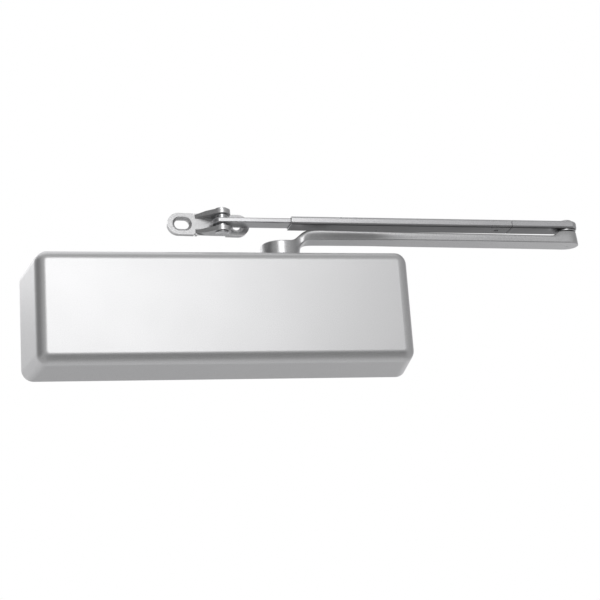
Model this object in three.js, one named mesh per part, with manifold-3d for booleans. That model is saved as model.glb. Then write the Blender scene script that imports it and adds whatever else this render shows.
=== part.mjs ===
// Surface door closer with a full cover and a regular two-piece arm.
// Millimetres. +X runs along the closer towards its elbow side, +Y points into the door, +Z is up.
// The origin is the centre of the face that lies on the door.
import * as THREE from 'three';
import { mergeVertices } from 'three/addons/utils/BufferGeometryUtils.js';
import Module from 'manifold-3d';

// ---- driving dimensions ----
const COVER = { length: 325, height: 94, depth: 60, endTaper: 9.4, corner: 10, edge: 9, wall: 2.5 };
const SPINDLE = { x: 52, y: -30 };
const GAP = 0.3;

const BODY = { barrelR: 25, boreR: 19.05, halfLength: 141, bossR: 20, bossHalf: 39, bossBoreR: 14.2 };
const FOOT = { holeX: 152.4, holeZ: 9.525, holeR: 3.6, innerX: 130, outerX: 158, halfHeight: 19, thick: 8 };
const COVER_POST = { x: 118, y: -12, r: 5.5, boreLow: 30 };
const COVER_SCREW = { r: 2.5, tip: 30.5, headR: 4.2, headHigh: 49.4, slotWidth: 1, slotDepth: 1 };
const NOTCH_R = 18;
const CAP = { inner: 129.3, threadR: 20.7, counterboreR: 21, flangeR: 22, flangeThick: 4.2 };
const CAP_KEY = { r: 6, depth: 8.5 };
const CAP_SPIGOT = { r: 18.7, inner: 120, grooveR: 17.2, grooveInner: 123, grooveOuter: 125.6 };
const CAP_SEAL = { x: 124.3, ringR: 18.12, wireR: 0.6 };

const GEAR = {
  teeth: 10, module: 2, pressure: 25, addendum: 1.6, dedendum: 2, halfHeight: 8.8, backlash: 0.12,
};
const PISTON = { r: 18.7, left: 14, right: 118, slotLeft: 39.5, slotRight: 97, slotBack: -17.4 };
const SHAFT = {
  r: 9.5, low: -35, neckR: 8.6, shoulder: 37.5, squareLow: 47.5, top: 56, square: 13, tapLow: 42, tapR: 3.3,
};
const BEARING = { inner: 20, outer: 33.5 };
const SHAFT_SEAL = { low: 33.8, high: 36.4, squeeze: 0.6 };
const GLAND = { hexR: 17, hexHigh: 43, spigotLow: 36.7 };
const PLUG = { hexLow: -42.5, spigotHigh: -35.6 };

const HUB = { r: 16.5, low: 48.3, high: 60.5, seatR: 8, seat: 56.5 };
const BAR = {
  halfWidth: 10, rampFoot: 60, rampTop: 72, topStart: 71.7, topEnd: 68,
  lowStart: 63.3, lowEnd: 61.8, lowTo: 160,
};
const ELBOW = { x: 311, y: -30, r: 10, knuckleTop: 74 };
const KNUCKLE_RAMP = { foot: 297, top: 302.5 };
const ARM_WASHER = { innerR: 3.3, r: 7.6, thick: 1.2 };
const ARM_SCREW = { r: 3, tip: 46, headR: 5.5, headHeight: 4, keyR: 2.9, keyDepth: 2.8 };
const ELBOW_PIN = { r: 4.4, headR: 7, domeR: 6.2, rimHeight: 1.3, headHeight: 2.3 };

const FOREARM = { yaw: 0.9, z: 79.1, height: 7.2, width: 18.9, wall: 1.1, seam: 53, mouth: 250.7 };
const ELBOW_BORE_R = 6.6;
const ELBOW_WASHER_R = 9;
const SPIGOT = { length: 20, width: 15.2, height: 4.4 };
const TUBE_PIN = { x: -65, r: 1.8 };
const CLAMP = { left: -226, right: -214, proud: 3.2, screwX: -220, screwR: 2.5, keyR: 1.3 };
const ROD = { width: 14.8, thick: 4.3, z: 79.2, end: 96, eyeR: 8.2, holeR: 3.2 };
const PIVOT_DISTANCE = 308.3;

const SHOE = {
  yaw: 4, z: 80, height: 18.8, front: 8.6, thick: 4.5, left: -44.3, right: 26.1,
  earLeft: -20.8, earThick: 3.9, noseR: 7.5,
};
const SHOE_SLOT = { x: -31.8, halfStraight: 2.2, r: 4.1, sinkR: 6.1 };
const SHOE_HOLE = { x: 15.5, r: 3.3, sinkR: 5.3 };
const SINK_DEPTH = 1.6;
const RIVET = { shankR: 2.8, headR: 5.75, domeR: 4.55, headHeight: 1.7, rimHeight: 1.2 };
const SHOE_WASHER_R = 5.2;

// ---- finishes ----
function finish(colour, roughness, metalness) {
  return new THREE.MeshStandardMaterial({ color: new THREE.Color(...colour), roughness, metalness });
}
const ALUMINIUM_PAINT = () => finish([0.80, 0.80, 0.81], 0.42, 0.6);
const CASTING = () => finish([0.42, 0.43, 0.44], 0.7, 0.5);
const ARM_STEEL = () => finish([0.62, 0.62, 0.63], 0.38, 0.85);
const BRIGHT_STEEL = () => finish([0.70, 0.70, 0.71], 0.25, 1);
const DARK_STEEL = () => finish([0.30, 0.30, 0.31], 0.4, 0.9);
const BRASS = () => finish([0.72, 0.56, 0.28], 0.35, 0.9);
const RUBBER = () => finish([0.05, 0.05, 0.05], 0.85, 0);

// ---- solids ----
const wasm = await Module();
wasm.setup();

// A closed three.js geometry as a solid that can be joined and cut.
function solid(geometry) {
  const bare = geometry.index ? geometry.clone() : mergeVertices(geometry);
  bare.deleteAttribute('normal');
  bare.deleteAttribute('uv');
  const merged = mergeVertices(bare, 1e-4);
  const vertProperties = new Float32Array(merged.attributes.position.array);
  const triVerts = new Uint32Array(merged.index.array);
  return new wasm.Manifold(new wasm.Mesh({ numProp: 3, vertProperties, triVerts }));
}

function geometryOf(manifold) {
  const mesh = manifold.getMesh();
  const geometry = new THREE.BufferGeometry();
  geometry.setAttribute('position', new THREE.BufferAttribute(new Float32Array(mesh.vertProperties), 3));
  geometry.setIndex(new THREE.BufferAttribute(new Uint32Array(mesh.triVerts), 1));
  geometry.computeVertexNormals();
  return geometry;
}

function box(x0, x1, y0, y1, z0, z1) {
  const geometry = new THREE.BoxGeometry(x1 - x0, y1 - y0, z1 - z0);
  geometry.translate((x0 + x1) / 2, (y0 + y1) / 2, (z0 + z1) / 2);
  return solid(geometry);
}

// Round bars along each axis; segments of 6 make a hexagon, of 4 a square.
function barX(r, x0, x1, y = SPINDLE.y, z = 0, segments = 28) {
  const geometry = new THREE.CylinderGeometry(r, r, x1 - x0, segments);
  geometry.rotateZ(-Math.PI / 2);
  geometry.translate((x0 + x1) / 2, y, z);
  return solid(geometry);
}
function barY(r, y0, y1, x, z, segments = 16) {
  const geometry = new THREE.CylinderGeometry(r, r, y1 - y0, segments);
  geometry.translate(x, (y0 + y1) / 2, z);
  return solid(geometry);
}
function barZ(r, z0, z1, x, y, segments = 28) {
  const geometry = new THREE.CylinderGeometry(r, r, z1 - z0, segments);
  geometry.rotateX(Math.PI / 2);
  geometry.translate(x, y, (z0 + z1) / 2);
  return solid(geometry);
}

// A closed profile of [radius, height] points turned about a vertical axis at x, y.
function turned(profile, x, y, segments = 24) {
  const points = [...profile, profile[0]].map(([r, z]) => new THREE.Vector2(r, z));
  const geometry = new THREE.LatheGeometry(points, segments);
  geometry.rotateX(Math.PI / 2);
  geometry.translate(x, y, 0);
  return solid(geometry);
}
function ringZ(inner, outer, z0, z1, x, y, segments = 28) {
  return barZ(outer, z0, z1, x, y, segments).subtract(barZ(inner, z0 - 1, z1 + 1, x, y, segments));
}

function outline(points) {
  return new THREE.Shape(points.map(([a, b]) => new THREE.Vector2(a, b)));
}
function roundedRectangle(width, height, r) {
  const [a, b] = [width / 2 - r, height / 2 - r];
  const shape = new THREE.Shape();
  shape.absarc(a, b, r, 0, Math.PI / 2);
  shape.absarc(-a, b, r, Math.PI / 2, Math.PI);
  shape.absarc(-a, -b, r, Math.PI, 1.5 * Math.PI);
  shape.absarc(a, -b, r, 1.5 * Math.PI, 2 * Math.PI);
  shape.closePath();
  return shape;
}
function extrude(shape, depth, curveSegments = 3) {
  return new THREE.ExtrudeGeometry(shape, { depth, bevelEnabled: false, curveSegments });
}

const X = new THREE.Vector3(1, 0, 0);
const Y = new THREE.Vector3(0, 1, 0);
const Z = new THREE.Vector3(0, 0, 1);

// A (y, z) outline pulled from x0 to x1.
function extrudeX(shape, x0, x1, y = 0, z = 0, curveSegments = 3) {
  const geometry = extrude(shape, x1 - x0, curveSegments);
  geometry.applyMatrix4(new THREE.Matrix4().makeBasis(Y, Z, X));
  geometry.translate(x0, y, z);
  return solid(geometry);
}
// An (x, z) outline pulled from y1 down to y0.
function extrudeY(shape, y0, y1, curveSegments = 8) {
  const geometry = extrude(shape, y1 - y0, curveSegments);
  geometry.applyMatrix4(new THREE.Matrix4().makeBasis(X, Z, Y.clone().negate()));
  geometry.translate(0, y1, 0);
  return solid(geometry);
}
// An (x, y) outline pulled from z0 to z1.
function extrudeZ(shape, z0, z1, curveSegments = 8) {
  const geometry = extrude(shape, z1 - z0, curveSegments);
  geometry.translate(0, 0, z0);
  return solid(geometry);
}

// ---- assembly ----
const closer = new THREE.Group();
const forearm = new THREE.Group();
const shoeGroup = new THREE.Group();
closer.add(forearm);
closer.add(shoeGroup);

function piece(name, manifold, material, parent = closer) {
  const mesh = new THREE.Mesh(geometryOf(manifold), material);
  mesh.name = name;
  parent.add(mesh);
}

// ---- cover: drawn shell, open at the back, ends drafted inwards, screwed to two posts ----
function drawnShell({ length, height, depth, corner, edge }) {
  const geometry = new THREE.ExtrudeGeometry(roundedRectangle(length, height, corner), {
    depth: depth,
    bevelThickness: edge,
    bevelSize: edge,
    bevelOffset: -edge,
    bevelSegments: 4,
    curveSegments: 5,
  });
  geometry.rotateX(Math.PI / 2);
  geometry.translate(0, edge, 0);
  const position = geometry.attributes.position;
  for (let i = 0; i < position.count; i += 1) {
    const draft = 1 - (COVER.endTaper / (COVER.length / 2)) * (-position.getY(i) / COVER.depth);
    position.setX(i, position.getX(i) * draft);
  }
  return solid(geometry).subtract(box(-400, 400, 0, 100, -100, 100));
}
function makeCover() {
  const { length, height, depth, corner, edge, wall } = COVER;
  const outer = drawnShell({ length, height, depth, corner, edge });
  const inner = drawnShell({
    length: length - 2 * wall,
    height: height - 2 * wall,
    depth: depth - wall,
    corner: corner - wall,
    edge: edge - wall,
  });
  const top = height / 2;
  const [cutLow, cutHigh] = [top - 2 * wall, top + 2 * wall];
  const notch = barZ(NOTCH_R, cutLow, cutHigh, SPINDLE.x, SPINDLE.y)
    .add(box(SPINDLE.x - NOTCH_R, SPINDLE.x + NOTCH_R, SPINDLE.y, 1, cutLow, cutHigh));
  const [mouthX, mouthZ] = [length / 2 - 3 * wall, top - 2 * wall];
  let shell = outer.subtract(inner.add(box(-mouthX, mouthX, -1, 1, -mouthZ, mouthZ))).subtract(notch);
  for (const side of [-1, 1]) {
    const screwHole = barZ(COVER_SCREW.r + GAP, cutLow, cutHigh, side * COVER_POST.x, COVER_POST.y, 16);
    shell = shell.subtract(screwHole);
  }
  piece('cover', shell, ALUMINIUM_PAINT());
}
function makeCoverFixings() {
  const top = COVER.height / 2;
  const { r, tip, headR, headHigh, slotWidth, slotDepth } = COVER_SCREW;
  const y = COVER_POST.y;
  for (const [side, name] of [[-1, 'left'], [1, 'right']]) {
    const x = side * COVER_POST.x;
    const slotFloor = headHigh - slotDepth;
    const slot = box(x - headR, x + headR, y - slotWidth / 2, y + slotWidth / 2, slotFloor, headHigh + 1);
    const screw = barZ(r, tip, top + 2 * GAP, x, y, 16)
      .add(barZ(headR, top + GAP, headHigh, x, y, 16))
      .subtract(slot);
    piece(`cover_screw_${name}`, screw, BRIGHT_STEEL());
    const post = barZ(COVER_POST.r, BODY.barrelR + GAP, top - COVER.wall - GAP, x, y, 6)
      .subtract(barZ(r + GAP, COVER_POST.boreLow, top, x, y, 16));
    piece(`cover_post_${name}`, post, DARK_STEEL());
  }
}

// ---- body casting: bored barrel with a flat back, pinion boss and feet ----
const VALVES = [['sweep_valve', 84], ['latch_valve', 98], ['backcheck_valve', -24]];
const VALVE = { r: 3, y: -6, low: -28, high: -10, slotHalf: 0.4, slotDepth: 1.2 };
function makeBody() {
  const section = new THREE.Shape();
  section.moveTo(0, -BODY.barrelR);
  section.lineTo(0, BODY.barrelR);
  section.lineTo(SPINDLE.y, BODY.barrelR);
  section.absarc(SPINDLE.y, 0, BODY.barrelR, Math.PI / 2, 1.5 * Math.PI);
  let body = extrudeX(section, -BODY.halfLength, BODY.halfLength, 0, 0, 14);
  body = body.add(barZ(BODY.bossR, -BODY.bossHalf, BODY.bossHalf, SPINDLE.x, SPINDLE.y));
  body = body.add(box(SPINDLE.x - 15, SPINDLE.x + 15, SPINDLE.y, 0, -BODY.bossHalf + 3, BODY.bossHalf - 3));
  for (const side of [-1, 1]) {
    const [x0, x1] = [side * FOOT.innerX, side * FOOT.outerX].sort((a, b) => a - b);
    body = body.add(box(x0, x1, -FOOT.thick, 0, -FOOT.halfHeight, FOOT.halfHeight));
    for (const level of [-1, 1]) {
      body = body.subtract(barY(FOOT.holeR, -20, 5, side * FOOT.holeX, level * FOOT.holeZ));
    }
  }
  body = body.subtract(barX(BODY.boreR, -BODY.halfLength - 1, BODY.halfLength + 1));
  body = body.subtract(barX(CAP.counterboreR, CAP.inner - GAP, BODY.halfLength + 20));
  body = body.subtract(barX(CAP.counterboreR, -BODY.halfLength - 20, -CAP.inner + GAP));
  body = body.subtract(barZ(BODY.bossBoreR, -50, 50, SPINDLE.x, SPINDLE.y));
  for (const [name, x] of VALVES) {
    body = body.subtract(barZ(VALVE.r + GAP, -40, VALVE.high + GAP, x, VALVE.y, 12));
    const [slotFront, slotBack] = [VALVE.y - VALVE.slotHalf, VALVE.y + VALVE.slotHalf];
    const slotTop = VALVE.low + VALVE.slotDepth;
    const slot = box(x - VALVE.r, x + VALVE.r, slotFront, slotBack, VALVE.low - 1, slotTop);
    piece(name, barZ(VALVE.r, VALVE.low, VALVE.high, x, VALVE.y, 12).subtract(slot), BRASS());
  }
  piece('closer_body', body, CASTING());
}

// ---- end caps, their seals, and the spring power adjuster ----
const ADJUSTER = { r: 5, tip: 95, headInner: 147, headOuter: 152, headR: 7 };
function endCap(side) {
  const along = (r, a, b, segments = 28) => {
    const [x0, x1] = [side * a, side * b].sort((p, q) => p - q);
    return barX(r, x0, x1, SPINDLE.y, 0, segments);
  };
  const flangeInner = BODY.halfLength + GAP;
  const flange = along(CAP.flangeR, flangeInner, flangeInner + CAP.flangeThick, 6);
  const thread = along(CAP.threadR, CAP.inner, flangeInner + 1);
  const { r, inner, grooveR, grooveInner, grooveOuter } = CAP_SPIGOT;
  const spigot = along(r, inner, CAP.inner + 1);
  const core = along(grooveR, grooveInner - 1, grooveOuter + 1);
  const groove = along(r + 2, grooveInner, grooveOuter).subtract(core);
  return thread.add(flange).add(spigot).subtract(groove);
}
function endCapSeal(x) {
  const geometry = new THREE.TorusGeometry(CAP_SEAL.ringR, CAP_SEAL.wireR, 5, 28);
  geometry.rotateY(Math.PI / 2);
  geometry.translate(x, SPINDLE.y, 0);
  return solid(geometry);
}
function makeEnds() {
  const throughHole = barX(ADJUSTER.r + GAP, -ADJUSTER.headOuter, -ADJUSTER.tip, SPINDLE.y, 0, 16);
  piece('end_cap_left', endCap(-1).subtract(throughHole), DARK_STEEL());
  const capFace = BODY.halfLength + GAP + CAP.flangeThick;
  const hexKey = barX(CAP_KEY.r, capFace - CAP_KEY.depth, capFace + 1, SPINDLE.y, 0, 6);
  piece('end_cap_right', endCap(1).subtract(hexKey), DARK_STEEL());
  piece('end_cap_seal_left', endCapSeal(-CAP_SEAL.x), RUBBER());
  piece('end_cap_seal_right', endCapSeal(CAP_SEAL.x), RUBBER());
  const stem = barX(ADJUSTER.r, -ADJUSTER.headInner - 1, -ADJUSTER.tip, SPINDLE.y, 0, 16);
  const head = barX(ADJUSTER.headR, -ADJUSTER.headOuter, -ADJUSTER.headInner, SPINDLE.y, 0, 6);
  piece('power_adjuster', stem.add(head), BRIGHT_STEEL());
}

// ---- springs between the piston and the seat, a nut that travels along the power adjuster ----
const SEAT = { left: -118, right: -113, r: 18.4 };
const SPRINGS = [
  { name: 'outer_spring', radius: 13.6, wire: 2.4, turns: 10 },
  { name: 'inner_spring', radius: 8.2, wire: 1.7, turns: 13 },
];
class SpringPath extends THREE.Curve {
  constructor(radius, turns, x0, x1) {
    super();
    Object.assign(this, { radius, turns, x0, x1 });
  }

  getPoint(t, target = new THREE.Vector3()) {
    const angle = 2 * Math.PI * this.turns * t;
    const x = this.x0 + (this.x1 - this.x0) * t;
    return target.set(x, SPINDLE.y + this.radius * Math.cos(angle), this.radius * Math.sin(angle));
  }
}
function makeSprings() {
  const seatBore = barX(ADJUSTER.r + GAP, SEAT.left - 1, SEAT.right + 1, SPINDLE.y, 0, 16);
  piece('spring_seat', barX(SEAT.r, SEAT.left, SEAT.right).subtract(seatBore), DARK_STEEL());
  for (const { name, radius, wire, turns } of SPRINGS) {
    const path = new SpringPath(radius, turns, SEAT.right + wire + GAP, PISTON.left - wire - GAP);
    const wireSection = new THREE.Shape();
    wireSection.absarc(0, 0, wire, 0, 2 * Math.PI);
    const geometry = new THREE.ExtrudeGeometry(wireSection, {
      steps: turns * 9,
      extrudePath: path,
      bevelEnabled: false,
      curveSegments: 2,
    });
    piece(name, solid(geometry), BRIGHT_STEEL());
  }
}

// ---- rack piston: two heads joined by a rack web and a back web ----
const PITCH_R = (GEAR.teeth * GEAR.module) / 2;
const TOOTH_PITCH = Math.PI * GEAR.module;
const CHECK_VALVE = { seat: 102, r: 3.3, z: 8, passageR: 1.5, valveEnd: 117, valveBoreR: 1 };
const PRESSURE = (GEAR.pressure * Math.PI) / 180;
function rackTooth(x) {
  const pitchLine = SPINDLE.y - PITCH_R;
  const halfAtPitch = TOOTH_PITCH / 4 - GEAR.backlash;
  const rootDepth = GEAR.dedendum + 0.5;
  const halfTip = halfAtPitch - GEAR.addendum * Math.tan(PRESSURE);
  const halfRoot = halfAtPitch + rootDepth * Math.tan(PRESSURE);
  const tooth = outline([
    [x - halfRoot, pitchLine - rootDepth],
    [x + halfRoot, pitchLine - rootDepth],
    [x + halfTip, pitchLine + GEAR.addendum],
    [x - halfTip, pitchLine + GEAR.addendum],
  ]);
  return extrudeZ(tooth, -GEAR.halfHeight, GEAR.halfHeight);
}
function makePiston() {
  const rackFloor = SPINDLE.y - PITCH_R - GEAR.dedendum;
  let piston = barX(PISTON.r, PISTON.left, PISTON.right);
  piston = piston.subtract(box(PISTON.slotLeft, PISTON.slotRight, rackFloor, PISTON.slotBack, -25, 25));
  for (let k = -2; k <= 6; k += 1) {
    piston = piston.add(rackTooth(SPINDLE.x + (k + 0.5) * TOOTH_PITCH));
  }
  const { seat, r, z, passageR, valveEnd, valveBoreR } = CHECK_VALVE;
  piston = piston.subtract(barX(r, seat, PISTON.right + 1, SPINDLE.y, z, 24));
  piston = piston.subtract(barX(passageR, PISTON.slotRight - 1, seat + 1, SPINDLE.y, z, 12));
  piece('rack_piston', piston, DARK_STEEL());
  const valve = barX(r - GAP, seat + GAP, valveEnd, SPINDLE.y, z, 24)
    .subtract(barX(valveBoreR, seat, valveEnd + 1, SPINDLE.y, z, 12));
  piece('piston_check_valve', valve, BRASS());
}

// ---- pinion shaft: involute teeth, journals above and below, square top for the arm ----
function pinionOutline() {
  const baseR = PITCH_R * Math.cos(PRESSURE);
  const rootR = PITCH_R - GEAR.dedendum;
  const tipR = PITCH_R + GEAR.addendum;
  const involute = (angle) => Math.tan(angle) - angle;
  const pitchHalfAngle = Math.PI / (2 * GEAR.teeth) - GEAR.backlash / PITCH_R;
  const halfAngle = (r) => pitchHalfAngle + involute(PRESSURE) - involute(Math.acos(Math.min(1, baseR / r)));
  const flank = [rootR, baseR, baseR + 0.6, PITCH_R, PITCH_R + 0.8, tipR];
  const points = [];
  for (let tooth = 0; tooth < GEAR.teeth; tooth += 1) {
    const middle = -Math.PI / 2 + (tooth * 2 * Math.PI) / GEAR.teeth;
    for (const r of flank) {
      points.push([r * Math.cos(middle - halfAngle(r)), r * Math.sin(middle - halfAngle(r))]);
    }
    for (const r of [...flank].reverse()) {
      points.push([r * Math.cos(middle + halfAngle(r)), r * Math.sin(middle + halfAngle(r))]);
    }
  }
  return outline(points);
}
function makePinion() {
  const { x, y } = SPINDLE;
  const gear = extrudeZ(pinionOutline(), -GEAR.halfHeight, GEAR.halfHeight).translate([x, y, 0]);
  const half = SHAFT.square / 2;
  const shaft = gear
    .add(barZ(SHAFT.r, SHAFT.low, -GEAR.halfHeight, x, y))
    .add(barZ(SHAFT.r, GEAR.halfHeight, SHAFT.shoulder, x, y))
    .add(barZ(SHAFT.neckR, SHAFT.shoulder - 1, SHAFT.squareLow, x, y))
    .add(box(x - half, x + half, y - half, y + half, SHAFT.squareLow - 1, SHAFT.top))
    .subtract(barZ(SHAFT.tapR, SHAFT.tapLow, SHAFT.top + 1, x, y, 16));
  piece('pinion_shaft', shaft, BRIGHT_STEEL());
}

// ---- bearings, seal, gland nut and plug, which close the boss round the shaft ----
function makeBossFittings() {
  const { x, y } = SPINDLE;
  const [inner, outer] = [SHAFT.r + GAP, BODY.bossBoreR - GAP];
  piece('upper_bearing', ringZ(inner, outer, BEARING.inner, BEARING.outer, x, y), BRIGHT_STEEL());
  piece('lower_bearing', ringZ(inner, outer, -BEARING.outer, -BEARING.inner, x, y), BRIGHT_STEEL());
  const seal = ringZ(inner, outer - SHAFT_SEAL.squeeze, SHAFT_SEAL.low, SHAFT_SEAL.high, x, y);
  piece('upper_seal', seal, RUBBER());
  const flangeLow = BODY.bossHalf + GAP;
  const gland = barZ(GLAND.hexR, flangeLow, GLAND.hexHigh, x, y, 6)
    .add(barZ(outer, GLAND.spigotLow, flangeLow + 0.5, x, y))
    .subtract(barZ(inner, GLAND.spigotLow - 1, GLAND.hexHigh + 1, x, y));
  piece('gland_nut', gland, BRIGHT_STEEL());
  const plug = barZ(GLAND.hexR, PLUG.hexLow, -flangeLow, x, y, 6)
    .add(barZ(outer, -flangeLow - 0.5, PLUG.spigotHigh, x, y));
  piece('bottom_plug', plug, DARK_STEEL());
}

// ---- main arm: hub, joggle, tapering bar and elbow knuckle ----
function makeMainArm() {
  const { x, y } = SPINDLE;
  const side = outline([
    [x, HUB.low + 2],
    [x + 15, HUB.low + 2],
    [BAR.rampTop + 1, BAR.lowStart],
    [BAR.lowTo, BAR.lowStart],
    [ELBOW.x, BAR.lowEnd],
    [ELBOW.x, BAR.topEnd],
    [KNUCKLE_RAMP.foot, BAR.topEnd],
    [BAR.rampTop, BAR.topStart],
    [BAR.rampFoot + 2, HUB.high + 1],
    [BAR.rampFoot, HUB.high],
    [x, HUB.high],
  ]);
  const ramp = outline([
    [KNUCKLE_RAMP.foot, BAR.topEnd - 1],
    [ELBOW.x, BAR.topEnd - 1],
    [ELBOW.x, ELBOW.knuckleTop],
    [KNUCKLE_RAMP.top, ELBOW.knuckleTop],
    [KNUCKLE_RAMP.foot, BAR.topEnd],
  ]);
  const squareHole = SHAFT.square / 2 + GAP;
  const arm = barZ(HUB.r, HUB.low, HUB.high, x, y)
    .add(extrudeY(side, y - BAR.halfWidth, y + BAR.halfWidth))
    .add(extrudeY(ramp, y - BAR.halfWidth, y + BAR.halfWidth))
    .add(barZ(ELBOW.r, BAR.lowEnd, ELBOW.knuckleTop, ELBOW.x, ELBOW.y))
    .subtract(box(x - squareHole, x + squareHole, y - squareHole, y + squareHole, 40, 70))
    .subtract(barZ(HUB.seatR, HUB.seat, HUB.high + 1, x, y))
    .subtract(barZ(ELBOW_PIN.r + GAP, BAR.lowEnd + 1.5, ELBOW.knuckleTop + 1, ELBOW.x, ELBOW.y, 16));
  piece('main_arm', arm, ARM_STEEL());
}

// ---- arm screw and washer on the shaft, and the shouldered pin of the elbow ----
function makeArmFixings() {
  const { x, y } = SPINDLE;
  const washerLow = HUB.seat + GAP;
  const headLow = washerLow + ARM_WASHER.thick + GAP;
  const headHigh = headLow + ARM_SCREW.headHeight;
  piece('arm_washer', ringZ(ARM_WASHER.innerR, ARM_WASHER.r, washerLow, headLow - GAP, x, y), BRIGHT_STEEL());
  const screw = barZ(ARM_SCREW.r, ARM_SCREW.tip, headLow + 1, x, y, 16)
    .add(barZ(ARM_SCREW.headR, headLow, headHigh, x, y))
    .subtract(barZ(ARM_SCREW.keyR, headHigh - ARM_SCREW.keyDepth, headHigh + 1, x, y, 6));
  piece('arm_screw', screw, DARK_STEEL());
  const headFace = FOREARM.z + FOREARM.height / 2 + GAP;
  const { r, headR, domeR, rimHeight, headHeight } = ELBOW_PIN;
  const head = turned([
    [0, headFace],
    [headR, headFace],
    [domeR, headFace + rimHeight],
    [0, headFace + headHeight],
  ], ELBOW.x, ELBOW.y, 16);
  const shank = barZ(r, BAR.lowEnd + 1.8, headFace + 1, ELBOW.x, ELBOW.y, 16);
  piece('elbow_pin', shank.add(head), BRIGHT_STEEL());
}

// ---- forearm: laid along -X from the elbow, then turned by its small yaw ----
function makeForearm() {
  forearm.position.set(ELBOW.x, ELBOW.y, 0);
  forearm.rotation.z = THREE.MathUtils.degToRad(FOREARM.yaw);
  const { z, height, width, wall, seam, mouth } = FOREARM;
  const innerWidth = ROD.width + 1;
  const tubeOuter = extrudeX(roundedRectangle(width, height, 2), -mouth, -seam - GAP, 0, z);
  const tubeInner = extrudeX(roundedRectangle(innerWidth, height - 2 * wall, 0.8), -mouth - 5, 0, 0, z);
  const { left, right, proud, screwX, screwR, keyR } = CLAMP;
  const clampBoss = box(left, right, innerWidth / 2 + 0.2, width / 2 + proud, z - proud, z + proud);
  const pinHole = barZ(TUBE_PIN.r + GAP, z - height, z, TUBE_PIN.x, 0, 16);
  const tube = tubeOuter
    .subtract(tubeInner)
    .add(clampBoss)
    .subtract(barY(screwR + GAP, 0, width, screwX, z))
    .subtract(pinHole);
  piece('forearm_tube', tube, ARM_STEEL(), forearm);

  const clampScrew = barY(screwR, ROD.width / 2 + GAP, width / 2 + proud - 0.2, screwX, z)
    .subtract(barY(keyR, width / 2, width, screwX, z, 6));
  piece('clamp_screw', clampScrew, DARK_STEEL(), forearm);

  const low = z - height / 2;
  const high = z + height / 2;
  const bore = barZ(ELBOW_BORE_R, low - 1, high + 1, 0, 0);
  const { length: spigotLength, width: spigotWidth, height: spigotHeight } = SPIGOT;
  const pastElbow = box(0, 20, -20, 20, low - 5, high + 5).subtract(barZ(ELBOW.r, low - 6, high + 6, 0, 0));
  const spigotSection = roundedRectangle(spigotWidth, spigotHeight, 0.8);
  const block = extrudeX(roundedRectangle(width, height, 2), -seam, 0, 0, z)
    .add(barZ(ELBOW.r, low, high, 0, 0))
    .subtract(pastElbow)
    .add(extrudeX(spigotSection, -seam - spigotLength, -seam + 1, 0, z))
    .subtract(bore)
    .subtract(pinHole);
  piece('elbow_end', block, ARM_STEEL(), forearm);
  const pinClear = ELBOW_PIN.r + GAP;
  const bush = ringZ(pinClear, ELBOW_BORE_R - GAP, low + 0.2, high - 0.2, 0, 0);
  piece('elbow_bush', bush, BRASS(), forearm);
  const washer = ringZ(pinClear, ELBOW_WASHER_R, ELBOW.knuckleTop + GAP, low - GAP, 0, 0);
  piece('elbow_washer', washer, BRIGHT_STEEL(), forearm);
  piece('tube_pin', barZ(TUBE_PIN.r, low, z - GAP, TUBE_PIN.x, 0, 16), DARK_STEEL(), forearm);

  const [rodLow, rodHigh] = [ROD.z - ROD.thick / 2, ROD.z + ROD.thick / 2];
  const rodSection = roundedRectangle(ROD.width, ROD.thick, 1);
  const rod = extrudeX(rodSection, -PIVOT_DISTANCE, -ROD.end, 0, ROD.z)
    .add(barZ(ROD.eyeR, rodLow, rodHigh, -PIVOT_DISTANCE, 0))
    .subtract(barZ(ROD.holeR, rodLow - 1, rodHigh + 1, -PIVOT_DISTANCE, 0, 16));
  piece('forearm_rod', rod, BRIGHT_STEEL(), forearm);
}

// ---- shoe: slotted plate with two folded ears, riveted to the rod's eye ----
function plateOutline() {
  const r = SHOE.height / 2;
  const shape = new THREE.Shape();
  shape.absarc(SHOE.right - r, SHOE.z, r, -Math.PI / 2, Math.PI / 2);
  shape.absarc(SHOE.left + r, SHOE.z, r, Math.PI / 2, 1.5 * Math.PI);
  return shape;
}
function slotOutline(x, halfStraight, r) {
  const shape = new THREE.Shape();
  shape.absarc(x + halfStraight, SHOE.z, r, -Math.PI / 2, Math.PI / 2);
  shape.absarc(x - halfStraight, SHOE.z, r, Math.PI / 2, 1.5 * Math.PI);
  return shape;
}
function earOutline() {
  const { noseR, earLeft, front, thick } = SHOE;
  const reach = Math.hypot(earLeft, front);
  const tangent = Math.atan2(front, earLeft) + Math.acos(noseR / reach);
  const shape = new THREE.Shape();
  shape.moveTo(noseR, front + thick);
  shape.lineTo(earLeft, front + thick);
  shape.lineTo(earLeft, front);
  shape.absarc(0, 0, noseR, tangent, 2 * Math.PI);
  return shape;
}
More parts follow.
